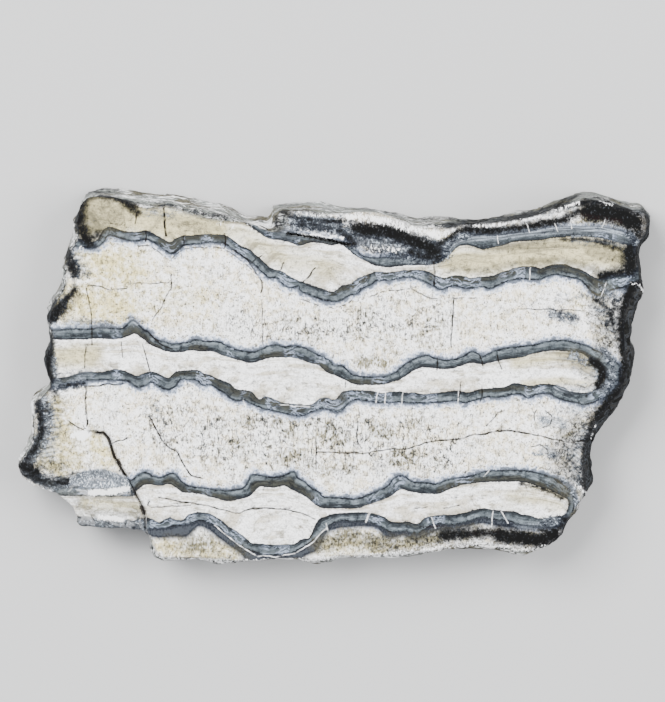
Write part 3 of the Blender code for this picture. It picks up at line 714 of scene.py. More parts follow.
def makeTooth():
    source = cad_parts["tooth_slice"]
    tooth = bpy.data.objects.new("toothSlice", source.data.copy())
    bpy.context.collection.objects.link(tooth)
    tooth.data.materials.clear()
    only(tooth)
    bpy.ops.object.mode_set(mode="EDIT")
    bpy.ops.mesh.select_all(action="SELECT")
    bpy.ops.mesh.remove_doubles(threshold=skin["weld"])
    bpy.ops.object.mode_set(mode="OBJECT")
    blocks = fillBlocks(openings["crack"][:-1], openings["crackFill"])
    blocks += fillBlocks(openings["gap"][1:], openings["gapFill"])
    bpy.ops.object.select_all(action="DESELECT")
    for block in blocks:
        block.select_set(True)
    tooth.select_set(True)
    bpy.context.view_layer.objects.active = tooth
    bpy.ops.object.join()
    remesh = tooth.modifiers.new("evenSkin", "REMESH")
    remesh.mode = "VOXEL"
    remesh.voxel_size = skin["voxel"]
    applyModifier(tooth, remesh)
    print("skin of even squares:", len(tooth.data.polygons))

    # the polished face and the sawn back are true planes
    z = verticesOf(tooth)[:, 2]
    up = normalsOf(tooth)[:, 2]
    selectVertices(tooth, (z > faceHeight - skin["flatDepth"]) & (up > 0.3))
    bpy.ops.transform.resize(value=(1, 1, 0), center_override=(0, 0, faceHeight))
    bpy.ops.object.mode_set(mode="OBJECT")
    selectVertices(tooth, z < skin["flatDepth"])
    bpy.ops.transform.resize(value=(1, 1, 0), center_override=(0, 0, 0))
    bpy.ops.object.mode_set(mode="OBJECT")

    # finer squares on the polished face and along its rim
    z = verticesOf(tooth)[:, 2]
    up = normalsOf(tooth)[:, 2]
    selectVertices(tooth, (z > faceHeight - skin["fineDepth"]) & (up > 0.25))
    bpy.ops.mesh.subdivide(number_cuts=1, ngon=False)
    bpy.ops.object.mode_set(mode="OBJECT")
    for name in ("crack", "gap"):
        points = verticesOf(tooth)
        x, y = gridOf(points)
        d, _ = routeDistance(x, y, openings[name])
        near = d < openings[name + "Width"] * 1.3
        selectVertices(tooth, near & (points[:, 2] > faceHeight - skin["grooveDepth"]))
        bpy.ops.mesh.subdivide(number_cuts=1, ngon=False)
        bpy.ops.object.mode_set(mode="OBJECT")
    print("face cut finer:", len(tooth.data.polygons))

    # crack and gap pressed in
    for name in ("crack", "gap"):
        for share in (1.0, 0.5):
            points = verticesOf(tooth)
            x, y = gridOf(points)
            d, _ = routeDistance(x, y, openings[name])
            near = d < openings[name + "Width"] / 2 * share
            selectVertices(tooth, near & (points[:, 2] > faceHeight - skin["pressDepth"]))
            bpy.ops.transform.translate(value=(0, 0, -openings[name + "Drop"] * (1.1 - share / 2)))
            bpy.ops.object.mode_set(mode="OBJECT")

    roughenSides(tooth)
    return tooth


def roughenSides(tooth):
    points = verticesOf(tooth)
    up = np.abs(normalsOf(tooth)[:, 2])
    group = tooth.vertex_groups.new(name="crust")
    share = np.clip((0.9 - up) / 0.5, 0, 1)
    share *= np.clip((faceHeight - points[:, 2]) / skin["grainFadeFace"], 0, 1)
    share *= np.clip(points[:, 2] / skin["grainFadeBack"], 0, 1)
    for level in range(1, 11):
        members = np.nonzero(np.round(share * 10) == level)[0]
        if len(members):
            group.add(members.tolist(), level / 10, "REPLACE")
    grain = bpy.data.textures.new("crustGrain", "CLOUDS")
    grain.noise_scale = skin["grainSize"]
    grain.noise_depth = 3
    raised = tooth.modifiers.new("crustGrain", "DISPLACE")
    raised.texture = grain
    raised.vertex_group = "crust"
    raised.strength = skin["grainHeight"]
    raised.mid_level = skin["grainMiddle"]
    applyModifier(tooth, raised)


def addFields(tooth):
    points = verticesOf(tooth)
    up = normalsOf(tooth)[:, 2]
    x, y = gridOf(points)
    junctions, outers, alongs = [], [], []
    for plate in (plateTop, plateMiddle, plateBottom):
        junction, along = signedDistance(x, y, plate["dentine"])
        outer, _ = signedDistance(x, y, plate["enamel"])
        junctions.append(junction)
        outers.append(outer)
        alongs.append(along)
    nearest = np.argmin(np.array(outers), axis=0)
    index = np.arange(len(x))
    setField(tooth, "junction", np.array(junctions)[nearest, index])
    setField(tooth, "outer", np.array(outers)[nearest, index])
    setField(tooth, "along", np.array(alongs)[nearest, index])
    setField(tooth, "under", signedDistance(x, y, underLayer)[0])
    setLines(tooth, "hairline", x, y, hairlines)
    setLines(tooth, "haloLine", x, y, haloLines)
    setLines(tooth, "bars", x, y, healedBars)
    pits = np.full(len(x), 6.0)
    for sx, sy, radius in spots:
        pits = np.minimum(pits, np.hypot(x - sx, y - sy) - radius)
    setField(tooth, "pits", pits)
    crack, _ = routeDistance(x, y, openings["crack"])
    gap, _ = routeDistance(x, y, openings["gap"])
    # the crack is tighter in its lower part
    crackEdge = np.where(y > openings["crackTightBelow"], crack + 0.35, crack - 0.1)
    setField(tooth, "opening", np.minimum(crackEdge, gap - 0.7))
    for name, strokes in stains.items():
        setField(tooth, name, strokesField(x, y, strokes))
    side = np.clip((0.93 - np.abs(up)) / 0.35, 0, 1)
    side *= np.clip((faceHeight - points[:, 2]) / skin["sideFade"], 0, 1)
    inHollow = insideRoute(x, y, chippedCorner)
    inHollow &= points[:, 2] > faceHeight - skin["hollowDepth"]
    back = (up < -0.7) & (points[:, 2] < skin["backHeight"])
    sunk = np.clip((faceHeight - points[:, 2] - skin["sunkStart"]) / skin["sunkFade"], 0, 1)
    sunk = np.where(back, 0, sunk)
    side = np.where(np.minimum(crack, gap) > 3, np.maximum(side, sunk), side)
    side = np.where(inHollow, side * 0.3, side)
    setField(tooth, "side", side)
    # how far in from the rim a point of the polished face lies, in squares
    wall = np.nonzero((side > 0.5) & (points[:, 2] > faceHeight - skin["wallDepth"]))[0]
    tree = kdtree.KDTree(len(wall))
    for i in wall:
        tree.insert((points[i, 0], points[i, 1], 0), int(i))
    tree.balance()
    rim = np.zeros(len(x))
    for i in np.nonzero(side < 0.5)[0]:
        rim[i] = tree.find((points[i, 0], points[i, 1], 0))[2]
    setField(tooth, "rim", np.clip(rim / grid["column"], 0, 60))
    setField(tooth, "sawn", back)
    print("growth lines and stains laid out on", len(x), "points")


def layOut(tooth):
    # one map: the face over its full width, under it the walls as strips and the back
    mesh = tooth.data
    corners = np.zeros(len(mesh.loops), np.int32)
    mesh.loops.foreach_get("vertex_index", corners)
    count = np.zeros(len(mesh.polygons), np.int32)
    mesh.polygons.foreach_get("loop_total", count)
    normals = np.zeros(len(mesh.polygons) * 3, np.float32)
    mesh.polygons.foreach_get("normal", normals)
    nx, ny, nz = np.repeat(normals.reshape(-1, 3), count, axis=0).T
    points = verticesOf(tooth)
    near = np.minimum(*(routeDistance(*gridOf(points), openings[name])[0] for name in ("crack", "gap")))
    near = np.minimum.reduceat(near[corners], np.cumsum(count) - count)
    x, y, z = ((points - np.array((cadBox[0].x, cadBox[0].y, 0))) / (cadBox[1].x - cadBox[0].x))[corners].T
    middle = np.add.reduceat(x, np.cumsum(count) - count) / count
    near, middle = np.repeat(near, count), np.repeat(middle, count)
    across = np.abs(nx) > np.abs(ny)
    charts = (
        ((nz > 0.3) | ((near < 4) & (nz > -0.3)), x, 0.4 + y),
        (nz < -0.5, x * 0.44, y * 0.44),
        (across & (np.abs(middle - 0.5) < 0.38), 0.5 + y * 0.7, 0.02 + z + np.where(nx > 0, 0.12, 0)),
        (across, 0.62 + y * 0.6, np.where(nx > 0, 0.272, 0.335) + z * 0.6),
        (ny > -9, x * 0.6, np.where(ny > 0, 0.335, 0.272) + z * 0.6),
    )
    places = np.zeros((len(corners), 2))
    free = np.ones(len(corners), bool)
    for chosen, u, v in charts:
        places[chosen & free] = np.stack([u, v], axis=1)[chosen & free]
        free &= ~chosen
    layer = mesh.uv_layers.new(name="OFBake")
    layer.data.foreach_set("uv", (places * 0.994 + 0.003).astype(np.float32).ravel())


class flow:
    def __init__(self, shader, socket):
        self.shader = shader
        self.socket = socket

    def do(self, operation, *others):
        return self.shader.maths(operation, self, *others)

    def __add__(self, other):
        return self.do("ADD", other)

    __radd__ = __add__

    def __mul__(self, other):
        return self.do("MULTIPLY", other)

    __rmul__ = __mul__

    def __sub__(self, other):
        return self.do("SUBTRACT", other)

    def __rsub__(self, other):
        return self.shader.maths("SUBTRACT", other, self)

    def __truediv__(self, other):
        return self.do("DIVIDE", other)


class paint:
    # a colour built up from the bottom, each layer laid over the last by its share
    def __init__(self, shader, colour):
        self.shader = shader
        self.colour = colour

    def over(self, share, colour):
        self.colour = self.shader.mix(share, self.colour, colour)


class shading:
    def __init__(self, name):
        self.material = bpy.data.materials.new(name)
        self.material.use_nodes = True
        self.tree = self.material.node_tree
        self.surface = self.tree.nodes["Principled BSDF"]

    def node(self, kind, settings=None, inputs=None, out=0):
        made = self.tree.nodes.new(kind)
        for key, value in (settings or {}).items():
            setattr(made, key, value)
        for key, value in (inputs or {}).items():
            self.feed(made.inputs[key], value)
        return flow(self, made.outputs[out])

    def feed(self, socket, value):
        if isinstance(value, paint):
            value = value.colour
        if isinstance(value, str):
            value = toothColours[value]
        if isinstance(value, flow):
            self.tree.links.new(value.socket, socket)
        else:
            socket.default_value = value

    def maths(self, operation, *values):
        return self.node("ShaderNodeMath", {"operation": operation}, dict(enumerate(values)))

    def field(self, name):
        return self.node("ShaderNodeAttribute", {"attribute_name": name}, None, "Fac")

    def split(self, vector):
        parts = self.node("ShaderNodeSeparateXYZ", None, {0: vector}).socket.node.outputs
        return [flow(self, part) for part in parts]

    def line(self, name):
        # how far a place lies outside a traced thin line
        step = self.node("ShaderNodeAttribute", {"attribute_name": name}, None, "Vector")
        x, y, half = self.split(step)
        far = self.field(name + "Far") - 1.4
        return (x * x + y * y).do("SQRT").do("MAXIMUM", far) - half

    def edge(self, value, low, high):
        settings = {"interpolation_type": "SMOOTHSTEP"}
        inputs = {"Value": value, "From Min": low, "From Max": high}
        return self.node("ShaderNodeMapRange", settings, inputs)

    def mix(self, share, first, second):
        settings = {"data_type": "RGBA", "clamp_factor": True}
        return self.node("ShaderNodeMix", settings, {0: share, 6: first, 7: second}, 2)

    def noise(self, vector, scale, detail=2.0, roughness=0.5, distortion=0.0):
        inputs = {
            "Vector": vector, "Scale": scale, "Detail": detail, "Roughness": roughness,
            "Distortion": distortion,
        }
        plain = self.node("ShaderNodeTexNoise", None, inputs)
        return (plain - 0.5) * 2.1 + 0.5

    def stretch(self, vector, scale, shift=(0, 0, 0), turn=0.0):
        inputs = {"Vector": vector, "Scale": scale, "Location": shift, "Rotation": (0, 0, turn)}
        return self.node("ShaderNodeMapping", None, inputs)

    def ridges(self, value, half):
        # thin winding lines where a noise crosses its middle
        return 1 - self.edge((value - 0.5).do("ABSOLUTE"), half * 0.3, half)

    def join(self, x, y, z):
        return self.node("ShaderNodeCombineXYZ", None, {0: x, 1: y, 2: z})


finish = {
    "lightLevel": 3.0,
    "sheenLight": 0.02,
    "polish": 0.36,
    "specular": 0.11,
    "bumpDepth": 0.0005,
    "bumpStrength": 0.8,
    "smoothAngle": 50,
}

# How bright the view shows a surface of each brightness, from darkest to lightest
viewCurve = {
    "shown": (0.0, 0.162, 0.282, 0.39, 0.497, 0.59, 0.68, 0.735, 0.786, 0.833, 0.873, 0.907, 0.935, 0.98),
    "light": (-7.5, -5.64, -4.32, -3.37, -2.47, -1.72, -1.0, -0.5, 0.0, 0.5, 1.0, 1.5, 2.0, 3.2),
}


def tone(red, green, blue, lift=1.12):
    # the surface colour that shows as these 0-255 values under the studio light
    mean = (red + green + blue) / 3
    colour = []
    for value in (red, green, blue):
        shown = (mean + (value - mean) * lift) / 255
        light = 2 ** float(np.interp(shown, viewCurve["shown"], viewCurve["light"])) - finish["sheenLight"]
        colour.append(min(0.9, max(0.002, light / finish["lightLevel"])))
    return (*colour, 1)


toothColours = {
    "cementWhite": tone(248, 247, 245),
    "cementPale": tone(228, 226, 221),
    "cementCream": tone(206, 202, 190),
    "cementYellow": tone(221, 217, 193),
    "cementTan": tone(176, 172, 152),
    "cementShade": tone(172, 171, 164),
    "cementOlive": tone(124, 121, 99),
    "stroke": tone(78, 81, 84),
    "dentine": tone(236, 235, 233),
    "dentinePale": tone(218, 216, 211),
    "dentineWarm": tone(216, 213, 197),
    "dentineGrey": tone(156, 152, 138),
    "halo": tone(218, 222, 228),
    "haloGrey": tone(138, 146, 158),
    "enamel": tone(122, 128, 131),
    "enamelLight": tone(172, 178, 182),
    "enamelDeep": tone(84, 88, 92),
    "enamelLine": tone(48, 51, 56),
    "olive": tone(116, 115, 104),
    "underLayer": tone(76, 80, 89),
    "blueGrey": tone(144, 148, 153),
    "blueWhite": tone(206, 210, 214),
    "shade": tone(138, 134, 116),
    "black": tone(22, 23, 28),
    "blueBlack": tone(50, 54, 64),
    "white": tone(244, 246, 248),
    "brown": tone(60, 46, 36),
    "darkTan": tone(84, 82, 72),
    "blackBrown": tone(38, 34, 31),
    "hairline": tone(58, 54, 50),
    "crust": tone(196, 198, 196),
    "crustWhite": tone(232, 234, 236),
    "crustDark": tone(48, 50, 56),
    "crustTan": tone(164, 161, 148),
    "crustBrown": tone(112, 107, 96),
    "crustGrey": tone(120, 123, 128),
    "soot": tone(14, 15, 19),
}


class pattern:
    # noises in grid squares, so that a scale of 0.5 gives marks two squares wide
    def __init__(self, m, p):
        self.m = m
        self.p = p
        self.used = 0

    def noise(self, width, detail=3, roughness=0.6, distortion=0.0, turn=0.0):
        # width: how wide the marks are along x, y and z
        self.used += 1
        shift = (17.3 * self.used, 5.1 * self.used, 9.7 * self.used)
        scale = tuple(1 / w for w in width)
        return self.m.noise(self.m.stretch(self.p, scale, shift, turn), 1.0, detail, roughness, distortion)


def cementum(m, pat, waver):
    broad = pat.noise((30, 26, 30), 3)
    mottle = pat.noise((7, 6, 7), 3, 0.65)
    grain = pat.noise((2.3, 2.8, 2.3), 3, 0.75)
    coarse = m.edge(m.field("coarse") + waver * 0.6, 0.15, 0.85)
    upright = pat.noise((2.0, 14, 5), 2, 0.6, 0.2)
    strokesUp = pat.noise((1.4, 5.5, 4), 1, 0.6, 0.5)
    leanLeft = pat.noise((2.0, 6.5, 4), 2, 0.6, 0.9, 0.6)
    leanRight = pat.noise((2.0, 7.0, 4), 2, 0.6, 0.9, -0.65)
    flecks = pat.noise((1.7, 2.0, 3), 1, 0.5)
    colour = paint(m, m.mix(m.edge(broad + (mottle - 0.5) * 0.8, 0.3, 0.8), "cementWhite", "cementPale"))
    yellow = m.edge(m.field("yellow") + waver * 0.6 + (mottle - 0.5) * 0.5, 0.0, 1.1)
    colour.over(yellow * 0.95, "cementYellow")
    colour.over(m.edge(grain, 0.4, 0.8) * (0.5 - yellow * 0.2), "cementCream")
    colour.over(m.edge(upright, 0.5, 0.8) * (0.25 + coarse * 0.2), "cementShade")
    colour.over(m.edge(grain, 0.66, 0.86) * (0.16 + coarse * 0.3), "stroke")
    tan = m.edge(m.field("tan") * 1.2 + (leanLeft - 0.5) * 0.45 + waver * 0.6, 0.1, 0.9)
    fibres = m.edge((leanRight + leanLeft) * 0.5, 0.36, 0.66)
    colour.over(tan * (0.6 + fibres * 0.4), "cementTan")
    colour.over(tan * m.edge(leanLeft, 0.56, 0.78) * 0.6, "cementOlive")
    colour.over(m.edge(1 - leanRight, 0.6, 0.78) * (1 - yellow * 0.9) * 0.6, "cementWhite")
    busy = m.edge(mottle, 0.35, 0.65)
    colour.over(m.edge(strokesUp, 0.68, 0.8) * busy * (0.58 + coarse * 0.2), "stroke")
    colour.over(m.edge(leanLeft, 0.68, 0.78) * coarse * 0.95, "stroke")
    colour.over(m.edge(leanRight, 0.7, 0.8) * coarse * 0.9, "stroke")
    colour.over(m.edge(flecks, 0.78, 0.86) * 0.9, "stroke")
    wisps = m.ridges(pat.noise((7, 11, 8), 2, 0.6, 1.4), 0.13) * m.edge(mottle, 0.56, 0.68)
    colour.over(wisps * (0.25 + coarse * 0.65), "stroke")
    paleWisps = m.ridges(pat.noise((10, 12, 8), 2, 0.6, 1.0), 0.16) * m.edge(1 - mottle, 0.4, 0.6)
    colour.over(paleWisps * (1 - yellow * 0.9) * 0.7, "cementWhite")
    return colour, grain


def dentineColour(m, pat, across, down, high, waver, grain):
    level = down * 0.13 + m.field("junction") * 0.1
    growth = m.noise(m.join(across * 0.014, level, high * 0.02), 1.0, 4, 0.6)
    threads = m.noise(m.join(across * 0.022, level * 4.0 + waver, high * 0.02), 1.0, 3, 0.6)
    streaks = pat.noise((10, 2.6, 4), 3, 0.65)
    cloud = pat.noise((12, 8, 8), 3, 0.6)
    colour = paint(m, m.mix(m.edge(growth + (cloud - 0.5) * 0.6, 0.35, 0.85), "dentine", "dentinePale"))
    colour.over(m.edge(threads, 0.68, 0.9) * 0.34, "dentineGrey")
    warm = m.edge(m.field("yellow") + (growth - 0.5) * 0.3, 0.05, 0.85)
    warmColour = m.mix(m.edge(growth, 0.45, 0.85) * 0.75, "dentineWarm", "dentineGrey")
    colour.over(warm, warmColour)
    colour.over(m.edge(streaks, 0.5, 0.85) * 0.34, "dentineGrey")
    colour.over(m.edge(grain, 0.5, 0.85) * 0.34, "dentineGrey")
    colour.over(m.edge(streaks, 0.86, 0.95) * 0.55, "stroke")
    scuffs = pat.noise((2.2, 1.6, 2), 2, 0.7)
    colour.over(m.edge(scuffs, 0.52, 0.8) * 0.36, "dentineGrey")
    seams = m.ridges(growth + (cloud - 0.5) * 0.1, 0.05) * m.edge(cloud, 0.5, 0.7)
    colour.over(seams * 0.5, "dentineGrey")
    nearEdge = (1 - m.edge(0 - m.field("junction"), 0.6, 5.0)) * m.edge(growth, 0.4, 0.7)
    colour.over(nearEdge * 0.4, "dentineGrey")
    return colour


def enamelColour(m, junction, outer, along, high, waver):
    depth = junction / (junction - outer).do("MAXIMUM", 1.0)
    joint = m.node("ShaderNodeTexVoronoi", {"voronoi_dimensions": "1D", "feature": "DISTANCE_TO_EDGE"},
                   {"W": along * 0.06 + waver * 0.2, "Scale": 1.0})
    bulge = m.edge(joint, 0.0, 0.3)
    layers = m.noise(m.join(along * 0.035, depth * 2.6, high * 0.03), 1.0, 3, 0.6)
    threads = m.noise(m.join(along * 0.05, depth * 7.0, high * 0.03), 1.0, 2, 0.6)
    patches = m.noise(m.join(along * 0.03, 4.0, high * 0.02), 1.0, 2, 0.5)
    colour = paint(m, m.mix(m.edge(depth + (layers - 0.5) * 0.5, 0.2, 0.6), "enamelDeep", "enamel"))
    light = m.edge(depth + bulge * 0.16 + (layers - 0.5) * 0.6, 0.5, 0.85) * m.edge(patches, 0.3, 0.7)
    colour.over(light * 0.85, "enamelLight")
    colour.over(m.edge(waver, 0.02, 0.3) * 0.5, "enamelDeep")
    colour.over(m.edge(0 - waver, 0.08, 0.35) * 0.3, "enamelLight")
    colour.over(m.edge(threads, 0.62, 0.85) * 0.45, "enamelDeep")
    colour.over(m.edge(1 - threads, 0.62, 0.85) * 0.35, "enamelLight")
    colour.over(m.edge(depth, 0.84, 0.98) * 0.6, "enamelDeep")
    olive = m.edge(m.field("olive") + (layers - 0.5) * 0.5 + waver * 0.3, 0.25, 0.7)
    colour.over(olive * 0.65, "enamelDeep")
    colour.over(olive * (1 - m.edge(depth + waver, 0.3, 1.1) * 0.8) * 0.62, "olive")
    colour.over(olive * m.edge(threads, 0.5, 0.8) * 0.4, "enamelLine")
    winding = m.noise(m.join(along * 0.06, depth * 1.9, high * 0.03), 1.0, 3, 0.6, 0.5)
    colour.over(m.ridges(winding, 0.13) * m.edge(patches, 0.45, 0.65) * 0.5, "enamelLine")
    pale = m.noise(m.join(along * 0.08, depth * 2.3 + 5, high * 0.03), 1.0, 3, 0.6, 0.5)
    colour.over(m.ridges(pale, 0.12) * m.edge(1 - patches, 0.5, 0.7) * 0.35, "halo")
    colour.over((1 - m.edge(joint, 0.006, 0.035)) * m.edge(patches, 0.3, 0.7) * 0.6, "enamelLine")
    colour.over((1 - m.edge(junction, 0.6, 3.0)) * 0.5, "enamelDeep")
    edgeDark = (1 - m.edge(junction, 0.5, 1.6)) * (0.6 + m.edge(patches, 0.35, 0.7) * 0.4)
    colour.over(edgeDark, "enamelLine")
    return colour


def toothMaterial():
    m = shading("fossilTooth")
    place = m.node("ShaderNodeTexCoord", None, None, "Object")
    p = m.node("ShaderNodeVectorMath", {"operation": "SCALE"}, {0: place, "Scale": 1 / grid["column"]})
    across, down, high = m.split(p)
    pat = pattern(m, p)

    # wavers that keep every traced edge from looking drawn
    waver = pat.noise((5.5, 4.5, 5), 3) - 0.5
    ripple = pat.noise((1.3, 1.3, 1.6), 2) - 0.5
    junction = m.field("junction") + ripple * 0.7 + waver * 0.9
    outer = m.field("outer") + ripple * 0.6 + waver * 1.4
    side = m.field("side")
    sawn = m.field("sawn")

    colour, grain = cementum(m, pat, waver)

    # halo beyond the enamel, fibrous where it meets the cementum
    fringe = pat.noise((1.6, 3.4, 3), 2, 0.6, 0.5) - 0.5
    haloFade = 1 - m.edge(outer + fringe * 5.0 + waver * 5, 2.4, 7.0)
    bands = m.noise(m.join(m.field("along") * 0.02, m.field("outer") * 0.36, high * 0.03), 1.0, 3, 0.65)
    haloColour = paint(m, m.mix(m.edge(outer + waver * 6 + fringe * 2, 0.8, 6.0), "haloGrey", "halo"))
    haloColour.over(m.edge(bands, 0.6, 0.85) * 0.35, "haloGrey")
    colour.over(haloFade * 0.95, haloColour)
    haloHair = 1 - m.edge((outer - 6.8 + waver * 5).do("ABSOLUTE"), 0.2, 0.9)
    colour.over(haloHair * m.edge(fringe + waver, -0.05, 0.2) * 0.7, "stroke")
    under = m.field("under") + ripple + waver
    colour.over((1 - m.edge(under, 0.0, 4.5)) * 0.7, "blueGrey")
    colour.over(1 - m.edge(under, -1.6, 1.2), "underLayer")
    colour.over((1 - m.edge(under + fringe * 5, -3.5, -1.5)) * 0.4, "blueGrey")

    enamel = enamelColour(m, junction, outer, m.field("along"), high, waver)
    colour.over(1 - m.edge(outer, -0.4, 0.5), enamel)
    rimLine = (1 - m.edge(outer.do("ABSOLUTE"), 0.4, 1.3)) * m.edge(waver + ripple, -0.45, 0.25)
    colour.over((1 - m.edge(outer.do("ABSOLUTE"), 0.2, 2.6)) * 0.42, "enamelDeep")
    colour.over(rimLine * 0.95, "enamelLine")
    dentine = dentineColour(m, pat, across, down, high, waver, grain)
    colour.over(1 - m.edge(junction, -0.3, 0.5), dentine)

    # stains
    veins = pat.noise((2.4, 3.2, 3), 3, 0.65, 1.2)
    shade = m.edge(m.field("shade") + waver * 0.5 + (veins - 0.5) * 0.3, 0.1, 1.0)
    colour.over(shade * 0.68, "shade")
    blue = m.edge(m.field("blue") + waver * 0.4 + (veins - 0.5) * 0.8, 0.25, 0.95)
    colour.over(blue * 0.75, m.mix(m.edge(bands, 0.45, 0.75), "blueGrey", "blueWhite"))
    colour.over(blue * m.edge(1 - bands, 0.6, 0.8) * 0.6, "enamelLine")
    colour.over(blue * m.edge(veins, 0.68, 0.82) * 0.6, "enamelLine")
    specks = pat.noise((1.9, 2.6, 3), 2, 0.7)
    specked = m.edge(specks + shade * 0.16, 0.62, 0.76) * m.edge(junction, -0.5, 1.0)
    colour.over(specked * shade * 0.85, "enamelLine")
    swirl = pat.noise((9, 5, 6), 3, 0.62, 1.6)
    glass = paint(m, m.mix(m.ridges(swirl, 0.2) * 0.75, "blueBlack", "blueGrey"))
    glass.over(m.edge(specks + (swirl - 0.5) * 0.8, 0.6, 0.85) * 0.8, "blueWhite")
    navy = m.field("navy") + waver * 0.5 + ripple * 0.3 + (veins - 0.5) * 0.5
    colour.over(m.edge(navy, 0.15, 0.6) * 0.92, glass)
    dark = m.field("dark") + waver * 0.5 + ripple * 0.3 + (veins - 0.5) * 0.4
    darkened = m.edge(dark, -0.05, 0.55) * 0.75
    colour.over(darkened, m.mix(blue + m.edge(junction, -1.0, 1.0), "darkTan", "blueBlack"))
    colour.over(m.edge(dark + (specks - 0.5) * 0.25, 0.35, 0.95), "black")
    colour.over(m.edge(dark, 0.4, 0.8) * m.edge(specks, 0.72, 0.87) * 0.3, "blueGrey")
    rimStain = (1 - m.edge(m.field("rim") + waver * 4, 0.0, 3.5)) * (1 - side)
    colour.over(rimStain * 0.5, "crustDark")

    # the weathered and broken sides
    ledges = pat.noise((44, 26, 20), 2, 0.6, 0.4)
    hollows = pat.noise((10, 7, 7), 3, 0.65)
    strands = pat.noise((24, 13, 6), 3, 0.66, 0.8)
    drifts = pat.noise((70, 50, 36), 3, 0.6, 0.5)
    nearFace = m.edge(high, 46, 60)
    crust = paint(m, m.mix(m.edge(ledges, 0.4, 0.75), "crust", "crustTan"))
    crust.over(m.edge(strands, 0.42, 0.7) * 0.8, "crustWhite")
    crust.over(m.edge(m.field("blue") + waver * 0.4, 0.2, 0.7) * 0.6, "blueGrey")
    depthShare = nearFace * 0.45 + 0.42
    crust.over(m.edge(1 - hollows, 0.5, 0.76) * depthShare, "crustDark")
    crust.over(m.ridges(strands + (hollows - 0.5) * 0.3, 0.12) * depthShare, "crustDark")
    crust.over(m.edge(1 - strands, 0.66, 0.8) * depthShare * 0.8, "crustDark")
    crust.over(m.edge(drifts, 0.4, 0.8) * (1 - nearFace) * 0.3, "crustBrown")
    sooty = dark * (nearFace * 0.6 + 0.35) + m.field("sootySide") * (nearFace * 0.3 + 0.8)
    sooty = sooty + (hollows - 0.5) * 0.5 + (strands - 0.5) * 0.7 + (drifts - 0.5) * 0.5
    crust.over(m.edge(sooty, 0.3, 0.8) * 0.97, "soot")
    crust.over(m.edge(sooty, 0.3, 0.8) * m.ridges(strands, 0.1) * 0.6, "crustGrey")
    colour.over(side, crust)

    crumbs = pat.noise((2.2, 4.2, 4), 3, 0.7, 0.6)
    white = m.field("white") * 0.8 + waver * 0.5 + (crumbs - 0.5) * 1.5
    white = m.edge(white, 0.5, 0.85) * m.edge(m.field("white"), 0.1, 0.4)
    frost = m.edge(m.field("frost") + waver * 0.3, 0.25, 0.4)
    needles = pat.noise((1.5, 2.6, 2), 2, 0.7, 0.8)
    frostColour = paint(m, m.mix(m.edge(needles, 0.4, 0.76), "blueGrey", "blueWhite"))
    frostColour.over(m.edge(needles, 0.72, 0.85), "white")
    colour.over(frost * (1 - sawn) * 0.95, frostColour)
    colour.over(white * (1 - side * (1 - nearFace)) * (1 - sawn) * 0.9, "white")

    # lines and marks on top of everything
    polished = (1 - side) * (1 - sawn)
    colour.over((1 - m.edge(m.line("bars") + ripple * 0.5, -0.2, 0.4)) * (0.45 + waver) * polished, "white")
    hair = (1 - m.edge(m.line("hairline") + ripple * 0.5, 0.05, 0.75)) * (0.9 + waver)
    colour.over(hair * polished, "hairline")
    haloLine = (1 - m.edge(m.line("haloLine") + ripple * 0.6, 0.0, 0.7)) * 0.85 * m.edge(waver, -0.15, 0.05)
    colour.over(haloLine * polished, "hairline")
    colour.over((1 - m.edge(m.field("pits") + ripple, -0.8, 0.6)) * 0.85 * polished, "hairline")
    colour.over((1 - m.edge(m.field("opening") + ripple * 0.6, -0.2, 0.7)) * 0.9, "blackBrown")
    brown = m.edge(m.field("brown") + ripple * 0.6, 0.45, 0.75)
    colour.over(brown * (1 - sawn) * 0.85, "brown")

    # the back is left as the saw cut it
    cuts = m.noise(m.join(across * 0.006 + down * 0.012, down * 0.42 - across * 0.02, 3.0), 1.0, 4, 0.7)
    colour.over(sawn * (0.2 + m.edge(cuts, 0.4, 0.8) * 0.3), "cementShade")

    m.feed(m.surface.inputs["Base Color"], colour)
    roughness = finish["polish"] + side * 0.5 + sawn * 0.3 + (grain - 0.5) * 0.12
    m.feed(m.surface.inputs["Roughness"], roughness)
    m.surface.inputs["Specular IOR Level"].default_value = finish["specular"]
    relief = (grain * 0.4 + hollows * 1.2 + ledges * 1.2 + strands * 0.8) * (side * 0.9 + 0.03)
    bumpInputs = {
        "Height": relief + cuts * sawn * 0.35,
        "Distance": finish["bumpDepth"],
        "Strength": finish["bumpStrength"],
    }
    m.feed(m.surface.inputs["Normal"], m.node("ShaderNodeBump", None, bumpInputs))
    return m.material


studio = {
    "floorGrey": 0.42,
    "floorRoughness": 0.9,
    "lamps": (
        ("keyLight", (-0.7, 0.75, 1.1), 0.9, 62),
        ("fillLight", (0.9, 0.25, 0.9), 0.9, 26),
    ),
    "skyColour": (0.95, 0.97, 1.0, 1),
    "skyStrength": 1.1,
}


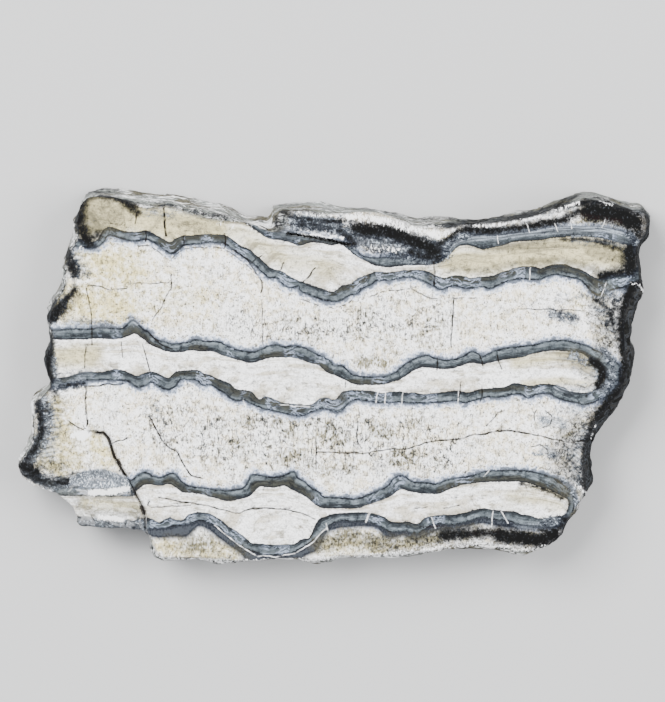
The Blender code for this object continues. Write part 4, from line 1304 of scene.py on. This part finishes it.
def floorAndLight():
    bpy.ops.object.select_all(action="DESELECT")
    bpy.ops.mesh.primitive_plane_add(size=3, location=(0, 0, -0.00005))
    floor = bpy.context.object
    floor.name = "paleFloor"
    paper = shading("palePaper")
    paper.surface.inputs["Base Color"].default_value = (*[studio["floorGrey"]] * 3, 1)
    paper.surface.inputs["Roughness"].default_value = studio["floorRoughness"]
    floor.data.materials.append(paper.material)

    for name, place, size, power in studio["lamps"]:
        lamp = bpy.data.lights.new(name, "AREA")
        lamp.size = size
        lamp.energy = power
        lampObject = bpy.data.objects.new(name, lamp)
        bpy.context.collection.objects.link(lampObject)
        lampObject.location = place
        lampObject.rotation_euler = (-Vector(place)).to_track_quat("-Z", "Y").to_euler()
    world = bpy.data.worlds.new("softRoom")
    bpy.context.scene.world = world
    world.use_nodes = True
    sky = world.node_tree.nodes["Background"].inputs
    sky[0].default_value = studio["skyColour"]
    sky[1].default_value = studio["skyStrength"]


cameraSetup = {
    "aim": (332.5, 351),  # on the traced grid, from one metre off
    "lens": 320.5,
    "sensor": 36,
    "clipStart": 0.05,
}


def placeCamera():
    aim = toSlice(*cameraSetup["aim"], faceHeight)
    camera = bpy.data.cameras.new("mainCamera")
    camera.sensor_width = cameraSetup["sensor"]
    camera.lens = cameraSetup["lens"]
    camera.clip_start = cameraSetup["clipStart"]
    camera.dof.use_dof = False
    cameraObject = bpy.data.objects.new("mainCamera", camera)
    bpy.context.collection.objects.link(cameraObject)
    cameraObject.location = aim + Vector((0, math.sin(viewTilt), math.cos(viewTilt)))
    cameraObject.rotation_euler = (-viewTilt, 0, 0)
    bpy.context.scene.camera = cameraObject


tooth = makeTooth()
addFields(tooth)
layOut(tooth)
tooth.data.materials.append(toothMaterial())
only(tooth)
bpy.ops.object.shade_smooth_by_angle(angle=math.radians(finish["smoothAngle"]))
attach(tooth, "root")
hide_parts("tooth_slice")
print("tooth slice ready:", sum(len(face.vertices) - 2 for face in tooth.data.polygons), "triangles")
floorAndLight()
placeCamera()
print("floor, lights and camera placed")
